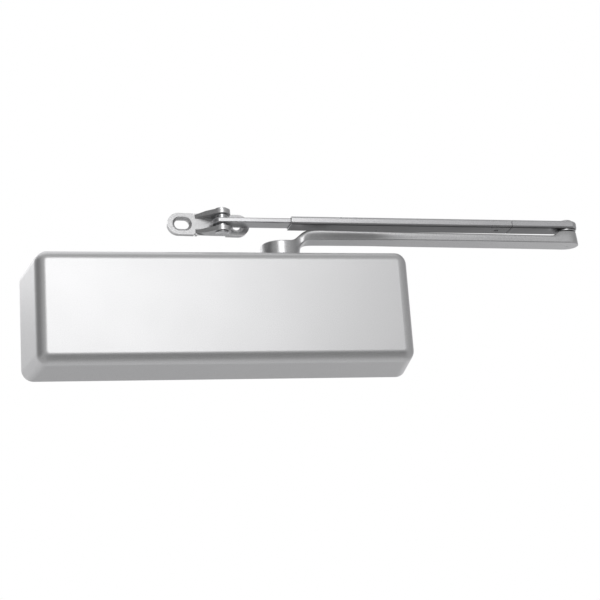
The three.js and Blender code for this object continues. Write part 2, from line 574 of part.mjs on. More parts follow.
function makeShoe() {
  const yaw = THREE.MathUtils.degToRad(FOREARM.yaw);
  const pivotX = ELBOW.x - PIVOT_DISTANCE * Math.cos(yaw);
  const pivotY = ELBOW.y - PIVOT_DISTANCE * Math.sin(yaw);
  shoeGroup.position.set(pivotX, pivotY, 0);
  shoeGroup.rotation.z = THREE.MathUtils.degToRad(SHOE.yaw);
  const { front, thick, z, height, earThick } = SHOE;
  const low = z - height / 2;
  const high = z + height / 2;
  let shoe = extrudeY(plateOutline(), front, front + thick);
  shoe = shoe.add(extrudeZ(earOutline(), high - earThick, high));
  shoe = shoe.add(extrudeZ(earOutline(), low, low + earThick));
  const { x: slotX, halfStraight, r: slotR, sinkR: slotSinkR } = SHOE_SLOT;
  const { x: holeX, r: holeR, sinkR: holeSinkR } = SHOE_HOLE;
  const [before, behind, sinkFloor] = [front - 5, front + thick + 5, front + SINK_DEPTH];
  shoe = shoe.subtract(extrudeY(slotOutline(slotX, halfStraight, slotR), before, behind));
  shoe = shoe.subtract(extrudeY(slotOutline(slotX, halfStraight, slotSinkR), before, sinkFloor));
  shoe = shoe.subtract(barY(holeR, before, behind, holeX, z));
  shoe = shoe.subtract(barY(holeSinkR, before, sinkFloor, holeX, z));
  shoe = shoe.subtract(barZ(RIVET.shankR + GAP, low - 5, high + 5, 0, 0, 16));
  piece('shoe', shoe, ARM_STEEL(), shoeGroup);

  const washer = (from, to) => ringZ(RIVET.shankR + GAP, SHOE_WASHER_R, from, to, 0, 0, 16);
  const [rodLow, rodHigh] = [ROD.z - ROD.thick / 2, ROD.z + ROD.thick / 2];
  piece('shoe_washer_upper', washer(rodHigh + GAP, high - earThick - GAP), BRIGHT_STEEL(), shoeGroup);
  piece('shoe_washer_lower', washer(low + earThick + GAP, rodLow - GAP), BRIGHT_STEEL(), shoeGroup);
  const { headR, domeR, headHeight, rimHeight, shankR } = RIVET;
  const head = turned([[0, 0], [headR, 0], [domeR, rimHeight], [0, headHeight]], 0, 0, 16);
  const rivet = barZ(shankR, low - 1, high + 1, 0, 0, 16)
    .add(head.translate([0, 0, high + GAP]))
    .add(head.mirror([0, 0, 1]).translate([0, 0, low - GAP]));
  piece('shoe_rivet', rivet, BRIGHT_STEEL(), shoeGroup);
}

makeCover();
makeCoverFixings();
makeBody();
makeEnds();
makeSprings();
makePiston();
makePinion();
makeBossFittings();
makeMainArm();
makeArmFixings();
makeForearm();
makeShoe();

export default closer;
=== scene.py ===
import math

import bmesh
import bpy
from mathutils import Euler, Matrix, Vector


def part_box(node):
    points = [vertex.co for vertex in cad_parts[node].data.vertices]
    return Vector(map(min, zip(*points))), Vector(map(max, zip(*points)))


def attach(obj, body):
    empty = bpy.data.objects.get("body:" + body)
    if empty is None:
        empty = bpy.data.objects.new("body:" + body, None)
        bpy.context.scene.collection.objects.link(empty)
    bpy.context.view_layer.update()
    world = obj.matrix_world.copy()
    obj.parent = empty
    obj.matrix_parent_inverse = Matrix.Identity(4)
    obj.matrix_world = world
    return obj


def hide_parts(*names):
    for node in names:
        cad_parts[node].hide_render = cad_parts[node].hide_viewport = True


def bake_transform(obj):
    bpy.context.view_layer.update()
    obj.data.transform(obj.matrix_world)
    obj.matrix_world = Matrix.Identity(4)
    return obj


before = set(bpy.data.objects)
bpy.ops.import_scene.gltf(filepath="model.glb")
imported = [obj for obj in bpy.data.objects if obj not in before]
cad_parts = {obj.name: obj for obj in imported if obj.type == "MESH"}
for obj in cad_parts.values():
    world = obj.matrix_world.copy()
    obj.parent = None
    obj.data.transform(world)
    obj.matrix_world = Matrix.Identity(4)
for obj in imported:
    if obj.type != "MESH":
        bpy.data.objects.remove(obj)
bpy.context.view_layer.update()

scene = bpy.context.scene


# ---------------------------------------- studio
# A white backdrop, a pale floor well under the closer, one large softbox above and in front, a
# smaller one behind, and a camera low on the left that looks up at the closer. Light and dark
# patches in the room's light are what the metal reflects.
CAMERA_EYE = (-0.24236, -1.26136, -0.35514)
CAMERA_TURN_DEGREES = (106.2091, 3.9129, -12.9346)
CAMERA_LENS = 95.06
ROOM_GREY = 0.34
ROOM_PATCHES = (
    # towards, fade starts, fade ends, grey
    ((0.0, 1.0, 0.15), 0.25, 0.85, 0.72),  # wall behind the closer
    ((0.1, 0.6, -0.8), 0.60, 0.95, 0.55),  # floor behind
    ((0.1, 0.97, -0.2), 0.93, 0.99, 0.40),  # foot of that wall
    ((0.1, -0.85, -0.5), 0.60, 0.95, 0.16),  # low in front
    ((-1.0, -0.05, 0.25), 0.80, 0.97, 0.08),  # left
    ((1.0, 0.1, 0.2), 0.75, 0.97, 0.30),  # right
    ((0.42, -0.87, 0.28), 0.88, 0.97, 0.48),  # in front on the right
    ((-0.15, 0.3, 0.95), 0.80, 0.97, 0.95),  # ceiling
    ((0.27, -0.93, -0.25), 0.92, 0.985, 0.04),  # dark panel under the camera
)
FLOOR_HALF = 6.0
FLOOR_LEVEL = -0.75
SQUARE_CORNERS = ((-1, -1), (1, -1), (1, 1), (-1, 1))


def node(tree, kind, values=(), **settings):
    """A new node in a tree, with values for some inputs and with its own settings."""
    made = tree.nodes.new(kind)
    for setting, value in settings.items():
        setattr(made, setting, value)
    for socket, value in dict(values).items():
        made.inputs[socket].default_value = value
    return made


def join(source, output, target, socket):
    """Links an output of one node to an input of another in the same tree."""
    target.id_data.links.new(source.outputs[output], target.inputs[socket])


def linked(name, data):
    """A new object in the scene."""
    thing = bpy.data.objects.new(name, data)
    scene.collection.objects.link(thing)
    return thing


def studio_camera():
    camera_data = bpy.data.cameras.new("studio_camera")
    camera_data.sensor_width = 36.0
    camera_data.lens = CAMERA_LENS
    camera_data.clip_start = 0.01
    camera = linked("studio_camera", camera_data)
    turn = Euler([math.radians(angle) for angle in CAMERA_TURN_DEGREES]).to_matrix().to_4x4()
    camera.matrix_world = Matrix.Translation(CAMERA_EYE) @ turn
    scene.camera = camera


def softbox(name, position, width, height, power):
    """A rectangular light aimed at the origin."""
    light = bpy.data.lights.new(name, "AREA")
    light.shape = "RECTANGLE"
    light.size = width
    light.size_y = height
    light.energy = power
    lamp = linked(name, light)
    aim = (-Vector(position)).to_track_quat("-Z", "Y").to_matrix().to_4x4()
    lamp.matrix_world = Matrix.Translation(position) @ aim
    lamp.visible_camera = False


def studio_world():
    world = bpy.data.worlds.new("studio_world")
    world.use_nodes = True
    tree = world.node_tree
    tree.nodes.clear()
    direction = node(tree, "ShaderNodeTexCoord")
    under = node(tree, "ShaderNodeRGB")
    under.outputs["Color"].default_value = (ROOM_GREY, ROOM_GREY, ROOM_GREY, 1.0)
    output = "Color"
    for towards, start, full, grey in ROOM_PATCHES:
        lean = node(tree, "ShaderNodeVectorMath", operation="DOT_PRODUCT")
        lean.inputs[1].default_value = Vector(towards).normalized()
        fade = node(tree, "ShaderNodeMapRange", {"From Min": start, "From Max": full})
        fade.interpolation_type = "SMOOTHSTEP"
        blend = node(tree, "ShaderNodeMix", data_type="RGBA")
        blend.inputs["B"].default_value = (grey, grey, grey * 1.01, 1.0)
        join(direction, "Generated", lean, 0)
        join(lean, "Value", fade, "Value")
        join(fade, "Result", blend, "Factor")
        join(under, output, blend, "A")
        under = blend
        output = "Result"
    lit = node(tree, "ShaderNodeBackground")
    backdrop = node(tree, "ShaderNodeBackground", {"Color": (1.0, 1.0, 1.0, 1.0)})
    choose = node(tree, "ShaderNodeMixShader")
    join(under, output, lit, "Color")
    join(node(tree, "ShaderNodeLightPath"), "Is Camera Ray", choose, "Fac")
    join(lit, "Background", choose, 1)
    join(backdrop, "Background", choose, 2)
    join(choose, "Shader", node(tree, "ShaderNodeOutputWorld"), "Surface")
    scene.world = world


def studio_floor():
    mesh = bpy.data.meshes.new("studio_floor")
    corners = [(x * FLOOR_HALF, y * FLOOR_HALF, FLOOR_LEVEL) for x, y in SQUARE_CORNERS]
    mesh.from_pydata(corners, [], [(0, 1, 2, 3)])
    paint = bpy.data.materials.new("floor_paint")
    paint.use_nodes = True
    skin = paint.node_tree.nodes["Principled BSDF"]
    skin.inputs["Base Color"].default_value = (0.82, 0.82, 0.82, 1.0)
    skin.inputs["Roughness"].default_value = 0.8
    mesh.materials.append(paint)
    floor = linked("studio_floor", mesh)
    floor.visible_glossy = False


scene.view_settings.view_transform = "Standard"
studio_camera()
studio_world()
studio_floor()
softbox("key_softbox", (-0.05, -2.3, 0.80), 1.35, 1.0, 9.7)
softbox("back_softbox", (-0.8, 1.8, 1.2), 1.2, 1.2, 4.0)


# ---------------------------------------- cover
# A single drawn steel shell in satin aluminium lacquer, open at the back, with its ends drafted
# inwards and a round front edge. It slides over the spindle by a notch and is held by two screws.
MM = 0.001
COVER_LENGTH = 325.0
COVER_HEIGHT = 94.0
COVER_DEPTH = 60.0
COVER_DRAFT = 9.4
COVER_CORNER = 10.0
COVER_EDGE = 9.0
COVER_WALL = 2.5
COVER_NOTCH_RADIUS = 18.0
COVER_TOP_CUT = (40.0, 50.0)
SPINDLE_X = 52.0
SPINDLE_Y = -30.0
COVER_SCREW_X = 118.0
COVER_SCREW_Y = -12.0
COVER_SCREW_HOLE = 2.8
SHARP_DEGREES = 38.0


def noise_group(name, masks):
    """A shader node group of noise masks on Object coordinates, with a scale input for each."""
    group = bpy.data.node_groups.new(name, "ShaderNodeTree")
    for mask, usual_scale, *_ in masks:
        socket = group.interface.new_socket(mask + " Scale", in_out="INPUT", socket_type="NodeSocketFloat")
        socket.default_value = usual_scale
        group.interface.new_socket(mask, in_out="OUTPUT", socket_type="NodeSocketFloat")
    given = node(group, "NodeGroupInput")
    result = node(group, "NodeGroupOutput")
    place = node(group, "ShaderNodeTexCoord")
    for mask, _, detail, roughness, stretch in masks:
        mapping = node(group, "ShaderNodeMapping", {"Scale": stretch})
        noise = node(group, "ShaderNodeTexNoise", {"Detail": detail, "Roughness": roughness})
        join(place, "Object", mapping, "Vector")
        join(mapping, "Vector", noise, "Vector")
        join(given, mask + " Scale", noise, "Scale")
        join(noise, "Fac", result, mask)
    return group


# Fine metallic flake, and a slow cloudiness.
LACQUER_FLAKE = noise_group(
    "lacquer_flake",
    (("Flake", 2200.0, 2.0, 0.7, (1.0, 1.0, 1.0)), ("Cloud", 18.0, 3.0, 0.5, (1.0, 1.0, 1.0))),
)


def masked_material(name, group, scales, colour, sheen, relief, even):
    """A Principled material whose colour, roughness and bump follow the masks of a noise group."""
    material = bpy.data.materials.new(name)
    material.use_nodes = True
    tree = material.node_tree
    skin = tree.nodes["Principled BSDF"]
    masks = node(tree, "ShaderNodeGroup", node_tree=group)
    for mask, scale in scales.items():
        masks.inputs[mask + " Scale"].default_value = scale
    mask, positions, shades = colour
    tone = node(tree, "ShaderNodeValToRGB")
    for element, position, shade in zip(tone.color_ramp.elements, positions, shades):
        element.position = position
        element.color = (*shade, 1.0)
    join(masks, mask, tone, "Fac")
    join(tone, "Color", skin, "Base Color")
    mask, low, high = sheen
    spread = {"From Min": 0.3, "From Max": 0.7, "To Min": low, "To Max": high}
    rough = node(tree, "ShaderNodeMapRange", spread)
    join(masks, mask, rough, "Value")
    join(rough, "Result", skin, "Roughness")
    mask, strength = relief
    bump = node(tree, "ShaderNodeBump", {"Strength": strength, "Distance": 0.0001})
    join(masks, mask, bump, "Height")
    join(bump, "Normal", skin, "Normal")
    for socket, value in even.items():
        skin.inputs[socket].default_value = value
    return material


def lacquer(name, dark, light, metallic, rough_low, rough_high, flake_scale, bump, coat):
    """Satin aluminium lacquer: flake in the colour, a little cloud in the roughness, fine orange peel."""
    return masked_material(
        name,
        LACQUER_FLAKE,
        {"Flake": flake_scale, "Cloud": 22.0},
        ("Flake", (0.30, 0.70), (dark, light)),
        ("Cloud", rough_low, rough_high),
        ("Flake", bump),
        {"Metallic": metallic, "Coat Weight": coat, "Coat Roughness": 0.25},
    )


COVER_LACQUER = lacquer(
    "cover_lacquer", (0.70, 0.70, 0.705), (0.84, 0.84, 0.845), 0.72, 0.365, 0.38, 1600.0, 0.10, 0.15
)


def in_metres(name, shape, material):
    """Writes a bmesh drawn in millimetres as an object in metres, and frees it."""
    for vertex in shape.verts:
        vertex.co *= MM
    mesh = bpy.data.meshes.new(name)
    shape.to_mesh(mesh)
    shape.free()
    mesh.materials.append(material)
    return linked(name, mesh)


def smooth_but_sharp(shape, degrees):
    """Smooth faces, with a break in the light at edges sharper than so many degrees."""
    for face in shape.faces:
        face.smooth = True
    for edge in shape.edges:
        edge.smooth = len(edge.link_faces) == 2 and edge.calc_face_angle(0.0) < math.radians(degrees)


def finished(name, shape, material, sharp=SHARP_DEGREES):
    """Merges a bmesh's doubles, sets its edges and writes it as an object."""
    bmesh.ops.remove_doubles(shape, verts=shape.verts, dist=0.0005)
    smooth_but_sharp(shape, sharp)
    return in_metres(name, shape, material)


def settle(thing):
    """Turns a piece and its modifiers into a plain mesh."""
    graph = bpy.context.evaluated_depsgraph_get()
    mesh = bpy.data.meshes.new_from_object(thing.evaluated_get(graph), depsgraph=graph)
    old = thing.data
    thing.modifiers.clear()
    thing.data = mesh
    bpy.data.meshes.remove(old)
    return thing


def cut(thing, tools, operation="DIFFERENCE"):
    """Cuts other pieces out of this one, or joins or keeps them; the tools are used up."""
    for tool in tools:
        step = thing.modifiers.new("cut", "BOOLEAN")
        step.operation = operation
        step.solver = "EXACT"
        step.object = tool
    settle(thing)
    for tool in tools:
        bpy.data.objects.remove(tool)
    return thing


def even_light(thing, sharp=SHARP_DEGREES):
    """Smooth shading with flat faces kept flat."""
    shape = bmesh.new()
    shape.from_mesh(thing.data)
    smooth_but_sharp(shape, sharp)
    shape.to_mesh(thing.data)
    shape.free()
    weigh = thing.modifiers.new("weigh", "WEIGHTED_NORMAL")
    weigh.keep_sharp = True
    weigh.weight = 80
    return settle(thing)


def soften(thing, width, angle=40.0, sharp=SHARP_DEGREES):
    """Rounds the sharp edges by a width in millimetres and keeps flat faces flat in the light."""
    shape = bmesh.new()
    shape.from_mesh(thing.data)
    bmesh.ops.remove_doubles(shape, verts=shape.verts, dist=0.002 * MM)
    bmesh.ops.dissolve_limit(shape, angle_limit=math.radians(0.2), verts=shape.verts, edges=shape.edges)
    shape.to_mesh(thing.data)
    shape.free()
    edge = thing.modifiers.new("edge", "BEVEL")
    edge.width = width * MM
    edge.segments = 2
    edge.limit_method = "ANGLE"
    edge.angle_limit = math.radians(angle)
    edge.harden_normals = False
    settle(thing)
    return even_light(thing, sharp)


def arc(centre_a, centre_b, radius, start, end, steps):
    """Points on an arc, angles in degrees."""
    turn = [math.radians(start + (end - start) * i / steps) for i in range(steps + 1)]
    return [(centre_a + radius * math.cos(t), centre_b + radius * math.sin(t)) for t in turn]


def circle(centre_a, centre_b, radius, steps):
    return arc(centre_a, centre_b, radius, 0, 360 - 360 / steps, steps - 1)


def rounded_outline(half_a, half_b, radius, steps):
    """A rectangle round the origin with rounded corners."""
    corners = ((1, 1, 0), (-1, 1, 90), (-1, -1, 180), (1, -1, 270))
    outline = []
    for side_a, side_b, start in corners:
        centre = (side_a * (half_a - radius), side_b * (half_b - radius))
        outline += arc(*centre, radius, start, start + 90, steps)
    return outline


def loft(shape, rings, close_ends=True, loop=False):
    """Joins rings of equal length with quads; the ends are capped, or the last joined to the first."""
    made = [[shape.verts.new(point) for point in ring] for ring in rings]
    pairs = list(zip(made, made[1:]))
    if loop:
        pairs.append((made[-1], made[0]))
    join_rings(shape, pairs)
    if close_ends:
        shape.faces.new(list(reversed(made[0])))
        shape.faces.new(made[-1])
    bmesh.ops.recalc_face_normals(shape, faces=shape.faces)
    return shape


def join_rings(shape, pairs, left_open=()):
    """Quads between each pair of rings, except those left open, given as (pair, place)."""
    for level, (first, second) in enumerate(pairs):
        for i in range(len(first)):
            if (level, i) not in left_open:
                j = (i + 1) % len(first)
                shape.faces.new((first[i], first[j], second[j], second[i]))


def prism(name, outline, low, high, axis="Z", material=None):
    """A solid from an outline pulled along one axis: Z pulls (x, y), Y pulls (x, z), X pulls (y, z)."""
    order = {"Z": (0, 1, 2), "Y": (0, 2, 1), "X": (2, 0, 1)}[axis]
    rings = [[[(*point, level)[k] for k in order] for point in outline] for level in (low, high)]
    return finished(name, loft(bmesh.new(), rings), material or COVER_LACQUER)


def round_cutter(radius, low, high, x, y, axis="Z", steps=64):
    return prism("cutter", circle(x, y, radius, steps), low, high, axis)


def cover_ring(y, inset, wall):
    """One ring of the shell, drafted towards the front."""
    draft = 1.0 - COVER_DRAFT / (COVER_LENGTH / 2) * (-y / COVER_DEPTH)
    half_length = COVER_LENGTH / 2 - wall - inset
    half_height = COVER_HEIGHT / 2 - wall - inset
    outline = rounded_outline(half_length, half_height, COVER_CORNER - wall - inset, 10)
    return [(x * draft, y, z) for x, z in outline]


def cover_side(wall):
    """Rings from the open back to the front face, round at the front edge."""
    edge = COVER_EDGE - wall
    corner_y = -(COVER_DEPTH - wall) + edge
    rings = [cover_ring(corner_y * step / 6, 0.0, wall) for step in range(7)]
    for step in range(1, 15):
        turn = math.radians(90.0 * step / 14)
        inset = edge * (1.0 - math.cos(turn)) * 0.999
        rings.append(cover_ring(corner_y - edge * math.sin(turn), inset, wall))
    return rings


def make_cover():
    outside = list(reversed(cover_side(0.0)))
    shape = loft(bmesh.new(), outside + cover_side(COVER_WALL))
    shell = finished("cover_shell", shape, COVER_LACQUER)
    notch = arc(SPINDLE_X, SPINDLE_Y, COVER_NOTCH_RADIUS, 180, 360, 32)
    notch += [(SPINDLE_X + side * COVER_NOTCH_RADIUS, 5.0) for side in (1, -1)]
    tools = [prism("notch", notch, *COVER_TOP_CUT)]
    for x in (-COVER_SCREW_X, COVER_SCREW_X):
        tools.append(round_cutter(COVER_SCREW_HOLE, *COVER_TOP_CUT, x, COVER_SCREW_Y, steps=32))
    cut(shell, tools)
    soften(shell, 0.35, 55.0)
    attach(shell, "closer")
    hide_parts("cover")


make_cover()


# ---------------------------------------- cover screws
# Two slotted pan-head machine screws in plated steel. They pass through the top of the cover into
# the posts. One head is turned and instanced on both posts.
COVER_SCREW_HEAD_LOW = 47.3
COVER_SCREW_HEAD_HIGH = 49.3
COVER_SCREW_HEAD = 4.2
COVER_SCREW_SHANK = 2.5
COVER_SCREW_END = 30.5
COVER_SCREW_SLOT = 1.0

# Turning marks round a vertical axis, and soft handling smudges.
STEEL_WEAR = noise_group(
    "steel_wear",
    (("Mark", 900.0, 2.0, 0.5, (0.06, 0.06, 1.0)), ("Smudge", 60.0, 4.0, 0.5, (1.0, 1.0, 1.0))),
)


def bare_metal(name, dark, light, rough_low, rough_high, bump=0.12, metallic=1.0, mark_scale=900.0):
    """Turned or plated metal: marks in the bump, smudges in the colour and the roughness."""
    return masked_material(
        name,
        STEEL_WEAR,
        {"Mark": mark_scale, "Smudge": 60.0},
        ("Smudge", (0.35, 0.65), (dark, light)),
        ("Smudge", rough_low, rough_high),
        ("Mark", bump),
        {"Metallic": metallic},
    )


PLATED_STEEL = bare_metal("plated_steel", (0.60, 0.61, 0.62), (0.74, 0.74, 0.75), 0.20, 0.32)


def lathe(name, profile, x, y, material, steps=48, sharp=35.0):
    """A profile of (radius, height) points turned about a vertical axis; it ends on the axis or closes."""
    shape = bmesh.new()
    poles = [abs(radius) < 1e-6 for radius, height in profile]
    turns = [2 * math.pi * i / steps for i in range(steps)]
    rings = []
    for (radius, height), pole in zip(profile, poles):
        plan = [(0.0, 0.0)] if pole else [(radius * math.cos(t), radius * math.sin(t)) for t in turns]
        rings.append([shape.verts.new((x + a, y + b, height)) for a, b in plan])
    pairs = list(zip(rings, rings[1:]))
    if not (poles[0] and poles[-1]):
        pairs.append((rings[-1], rings[0]))
    for low, high in pairs:
        for i in range(steps):
            j = (i + 1) % steps
            corners = (low[i % len(low)], low[j % len(low)], high[j % len(high)], high[i % len(high)])
            face = list(dict.fromkeys(corners))
            if len(face) > 2:
                shape.faces.new(face)
    bmesh.ops.recalc_face_normals(shape, faces=shape.faces)
    return finished(name, shape, material, sharp)


def geometry_tree(name, inputs):
    """A Geometry Nodes tree with named inputs and a Material; returns it and its input node."""
    tree = bpy.data.node_groups.new(name, "GeometryNodeTree")
    for socket, kind in (*inputs, ("Material", "Material")):
        tree.interface.new_socket(socket, in_out="INPUT", socket_type="NodeSocket" + kind)
    tree.interface.new_socket("Geometry", in_out="OUTPUT", socket_type="NodeSocketGeometry")
    return tree, tree.nodes.new("NodeGroupInput")


def end_tree(tree, given, source, output):
    """Makes a tree's instances real and gives them their material."""
    real = node(tree, "GeometryNodeRealizeInstances")
    paint = node(tree, "GeometryNodeSetMaterial")
    join(source, output, real, "Geometry")
    join(real, "Geometry", paint, "Geometry")
    join(given, "Material", paint, "Material")
    join(paint, "Geometry", node(tree, "NodeGroupOutput"), "Geometry")
    return tree


def run_tree(name, tree, given, sharp):
    """Runs a tree with its inputs given by name, and keeps the result as a plain mesh."""
    holder = linked(name, bpy.data.meshes.new(name))
    step = holder.modifiers.new("tree", "NODES")
    step.node_group = tree
    for item in tree.interface.items_tree:
        if item.in_out == "INPUT":
            step[item.identifier] = given[item.name]
    settle(holder)
    return even_light(holder, sharp)


def copies_tree():
    """A row of instances of a part, Spacing apart, each with a turn of its own up to Turn Step."""
    inputs = (("Part", "Object"), ("Count", "Int"), ("First", "Vector"), ("Spacing", "Vector"))
    tree, given = geometry_tree("copies_in_a_row", (*inputs, ("Turn Step", "Float"), ("Seed", "Int")))
    line = node(tree, "GeometryNodeMeshLine", mode="OFFSET")
    part = node(tree, "GeometryNodeObjectInfo")
    spread = node(tree, "FunctionNodeRandomValue", data_type="FLOAT")
    turn = node(tree, "ShaderNodeCombineXYZ")
    place = node(tree, "GeometryNodeInstanceOnPoints")
    join(given, "Count", line, "Count")
    join(given, "First", line, "Start Location")
    join(given, "Spacing", line, "Offset")
    join(given, "Part", part, "Object")
    join(given, "Turn Step", spread, 3)
    join(given, "Seed", spread, "Seed")
    join(spread, 1, turn, "Z")
    join(line, "Mesh", place, "Points")
    join(part, "Geometry", place, "Instance")
    join(turn, "Vector", place, "Rotation")
    return end_tree(tree, given, place, "Instances")


def cover_screw():
    """One slotted screw round the origin."""
    radius = COVER_SCREW_HEAD
    low = COVER_SCREW_HEAD_LOW
    high = COVER_SCREW_HEAD_HIGH
    rim = low + (high - low) * 0.55
    profile = [(0, COVER_SCREW_END), (COVER_SCREW_SHANK, COVER_SCREW_END), (COVER_SCREW_SHANK, low)]
    profile += [(radius - 0.15, low), (radius, low + 0.2), (radius, rim), (radius - 0.3, rim + 0.35)]
    profile += [(radius * 0.6, high - 0.15), (0, high)]
    screw = lathe("screw", profile, 0.0, 0.0, PLATED_STEEL)
    half_long = radius + 1
    half_wide = COVER_SCREW_SLOT / 2
    slot = [(a * half_long, b * half_wide) for a, b in SQUARE_CORNERS]
    return cut(screw, [prism("slot", slot, high - COVER_SCREW_SLOT, high + 1)])


def make_cover_screws():
    screw = cover_screw()
    given = {
        "Part": screw,
        "Count": 2,
        "First": (-COVER_SCREW_X * MM, COVER_SCREW_Y * MM, 0.0),
        "Spacing": (2 * COVER_SCREW_X * MM, 0.0, 0.0),
        "Turn Step": 2.4,
        "Seed": 7,
        "Material": PLATED_STEEL,
    }
    screws = run_tree("cover_screws", copies_tree(), given, 35.0)
    bpy.data.objects.remove(screw)
    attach(screws, "closer")
    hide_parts("cover_screw_left", "cover_screw_right")


make_cover_screws()


# ---------------------------------------- main arm
# One forging: a hub on the shaft's square, a joggle that lifts a flat tapering bar clear of the
# hub, and an elbow knuckle. The dies leave soft edges, and it carries a satin aluminium lacquer.
HUB_RADIUS = 16.5
HUB_LOW = 48.3
HUB_HIGH = 60.5
HUB_COLUMNS = 16
HUB_SEAT = 56.5
HUB_SEAT_RADIUS = 8.0
SQUARE_HALF = 6.8
JOGGLE_FOOT = 60.5
BAR_START = 72.0
BAR_TOP = 71.9
BAR_LOW = 63.3
BAR_HALF_WIDTH = 10.0
EDGE_LOOP = 1.3
INNER_SHARE = 0.82
ELBOW_X = 311.0
ELBOW_RADIUS = 10.2
KNUCKLE_TOP = 74.0
KNUCKLE_SHOULDER = 67.9
PIN_RADIUS = 4.4
PIN_BORE = 4.7
PIN_LOW = 63.6

ARM_LACQUER = lacquer(
    "arm_lacquer", (0.60, 0.60, 0.605), (0.80, 0.80, 0.805), 0.80, 0.28, 0.36, 1500.0, 0.20, 0.10
)


def hub_rings(shape):
    """Rings of the hub from the middle of its underside, up its wall, to the middle of its top."""
    wall = HUB_RADIUS + 0.43
    shoulder = HUB_RADIUS - 1.4
    middle = 9.0
    # radius, level, and the share of the joggle's rise that the ring takes
    plan = [(middle, HUB_LOW, 0.0), (shoulder, HUB_LOW, 0.0), (wall, HUB_LOW, 0.0)]
    plan += [(wall, HUB_LOW + 1.3, 0.0), (wall, 56.8, 0.0), (wall, 58.2, 0.35)]
    plan += [(wall, HUB_HIGH - 1.4, 0.8), (wall, HUB_HIGH, 1.0)]
    plan += [(shoulder, HUB_HIGH, 1.0), (middle, HUB_HIGH, 1.0)]
    rings = []
    for radius, level, share in plan:
        ring = []
        for column in range(HUB_COLUMNS):
            turn = 2 * math.pi * (column + 0.5) / HUB_COLUMNS
            x = SPINDLE_X + radius * math.cos(turn)
            lift = share * max(0.0, x - JOGGLE_FOOT)
            ring.append(shape.verts.new((x, SPINDLE_Y + radius * math.sin(turn), level + lift)))
        rings.append(ring)
    return rings


def bar_ring(shape, low, high, half_low, half_high, half_top, shoulder):
    """Twelve points round one section: four across the bottom and the top, two up each side."""
    (low_x, low_z), (high_x, high_z) = low, high
    rise = high_z - low_z
    rows = ((0.0, half_low), (EDGE_LOOP / rise, half_low), (1 - shoulder / rise, half_high), (1.0, half_top))
    near = INNER_SHARE
    order = [(0, -1, 1.0), (0, -1, near), (0, 1, near), (0, 1, 1.0), (1, 1, 1.0), (2, 1, 1.0)]
    order += [(3, 1, 1.0), (3, 1, near), (3, -1, near), (3, -1, 1.0), (2, -1, 1.0), (1, -1, 1.0)]
    ring = []
    for row, side, inwards in order:
        part, half = rows[row]
        x = low_x + (high_x - low_x) * part
        ring.append(shape.verts.new((x, SPINDLE_Y + side * half * inwards, low_z + rise * part)))
    return ring


def bar_low(x):
    """Height of the bar's underside, level at first and then falling slowly towards the elbow."""
    return BAR_LOW - max(0.0, x - 160.0) * 1.5 / 151.0


def bar_sections():
    """Sections from the joggle to the elbow: bottom and top points, half widths at the bottom, the
    shoulder and the top, and the shoulder's depth. The forging draft of the sides eases off."""
    sections = [
        ((70.6, 60.4), (71.6, 70.9), 10.6, 10.4, 7.4, 2.4),
        ((73.6, 62.8), (75.4, 71.9), 9.0, 10.2, 8.2, 1.8),
        ((78.0, BAR_LOW), (80.0, 71.95), 8.4, 10.0, 8.8, 1.3),
        ((86.0, BAR_LOW), (88.0, BAR_TOP), 8.2, 10.0, 9.0, 1.1),
    ]
    top_slope = (68.9 - BAR_TOP) / (297.0 - BAR_START)
    for x, half_low in ((112.0, 8.2), (136.0, 8.3), (150.0, 9.4), (230.0, 9.6), (285.0, 9.7), (294.0, 9.8)):
        top = BAR_TOP + top_slope * (x - BAR_START)
        sections.append(((x, bar_low(x)), (x, top), half_low, BAR_HALF_WIDTH, 9.0, 1.1))
    for x, top in ((296.8, 69.3), (299.2, 71.6), (301.8, 73.3), (304.8, KNUCKLE_TOP)):
        low = (x, bar_low(x))
        sections.append((low, (x, top), 9.9, BAR_HALF_WIDTH, 8.6, top - KNUCKLE_SHOULDER))
    for degrees in (0, 28, 56, 82):
        turn = math.radians(degrees)
        narrow = math.cos(turn)
        low = (ELBOW_X + ELBOW_RADIUS * math.sin(turn), bar_low(ELBOW_X))
        high = (ELBOW_X + (ELBOW_RADIUS - 0.9) * math.sin(turn), KNUCKLE_TOP)
        half = ELBOW_RADIUS * narrow
        sections.append((low, high, half, half, 8.7 * narrow, KNUCKLE_TOP - KNUCKLE_SHOULDER))
    return sections


def section_end(shape, ring):
    """Closes a twelve-point section with nine quads."""
    bottom = ring[0:4]
    top = list(reversed(ring[6:10]))
    rows = [bottom]
    for left, right, part in ((ring[11], ring[4], bottom), (ring[10], ring[5], top)):
        inner = [shape.verts.new((left.co.x, point.co.y, left.co.z)) for point in part[1:3]]
        rows.append([left, *inner, right])
    rows.append(top)
    for low, high in zip(rows, rows[1:]):
        for i in range(3):
            shape.faces.new((low[i], low[i + 1], high[i + 1], high[i]))


def arm_cage():
    """The forging as a cage of quads: the hub, with the bar growing out of its wall at the right."""
    shape = bmesh.new()
    rings = hub_rings(shape)
    shape.faces.new(rings[0])
    shape.faces.new(rings[-1])
    joined = {(level, column) for level in (4, 5, 6) for column in (14, 15, 0)}
    join_rings(shape, zip(rings, rings[1:]), joined)
    root = [rings[4][k] for k in (14, 15, 0, 1)] + [rings[5][1], rings[6][1]]
    root += [rings[7][k] for k in (1, 0, 15, 14)] + [rings[6][14], rings[5][14]]
    sections = [root] + [bar_ring(shape, *section) for section in bar_sections()]
    join_rings(shape, zip(sections, sections[1:]))
    section_end(shape, sections[-1])
    bmesh.ops.recalc_face_normals(shape, faces=shape.faces)
    for face in shape.faces:
        face.smooth = True
    return shape


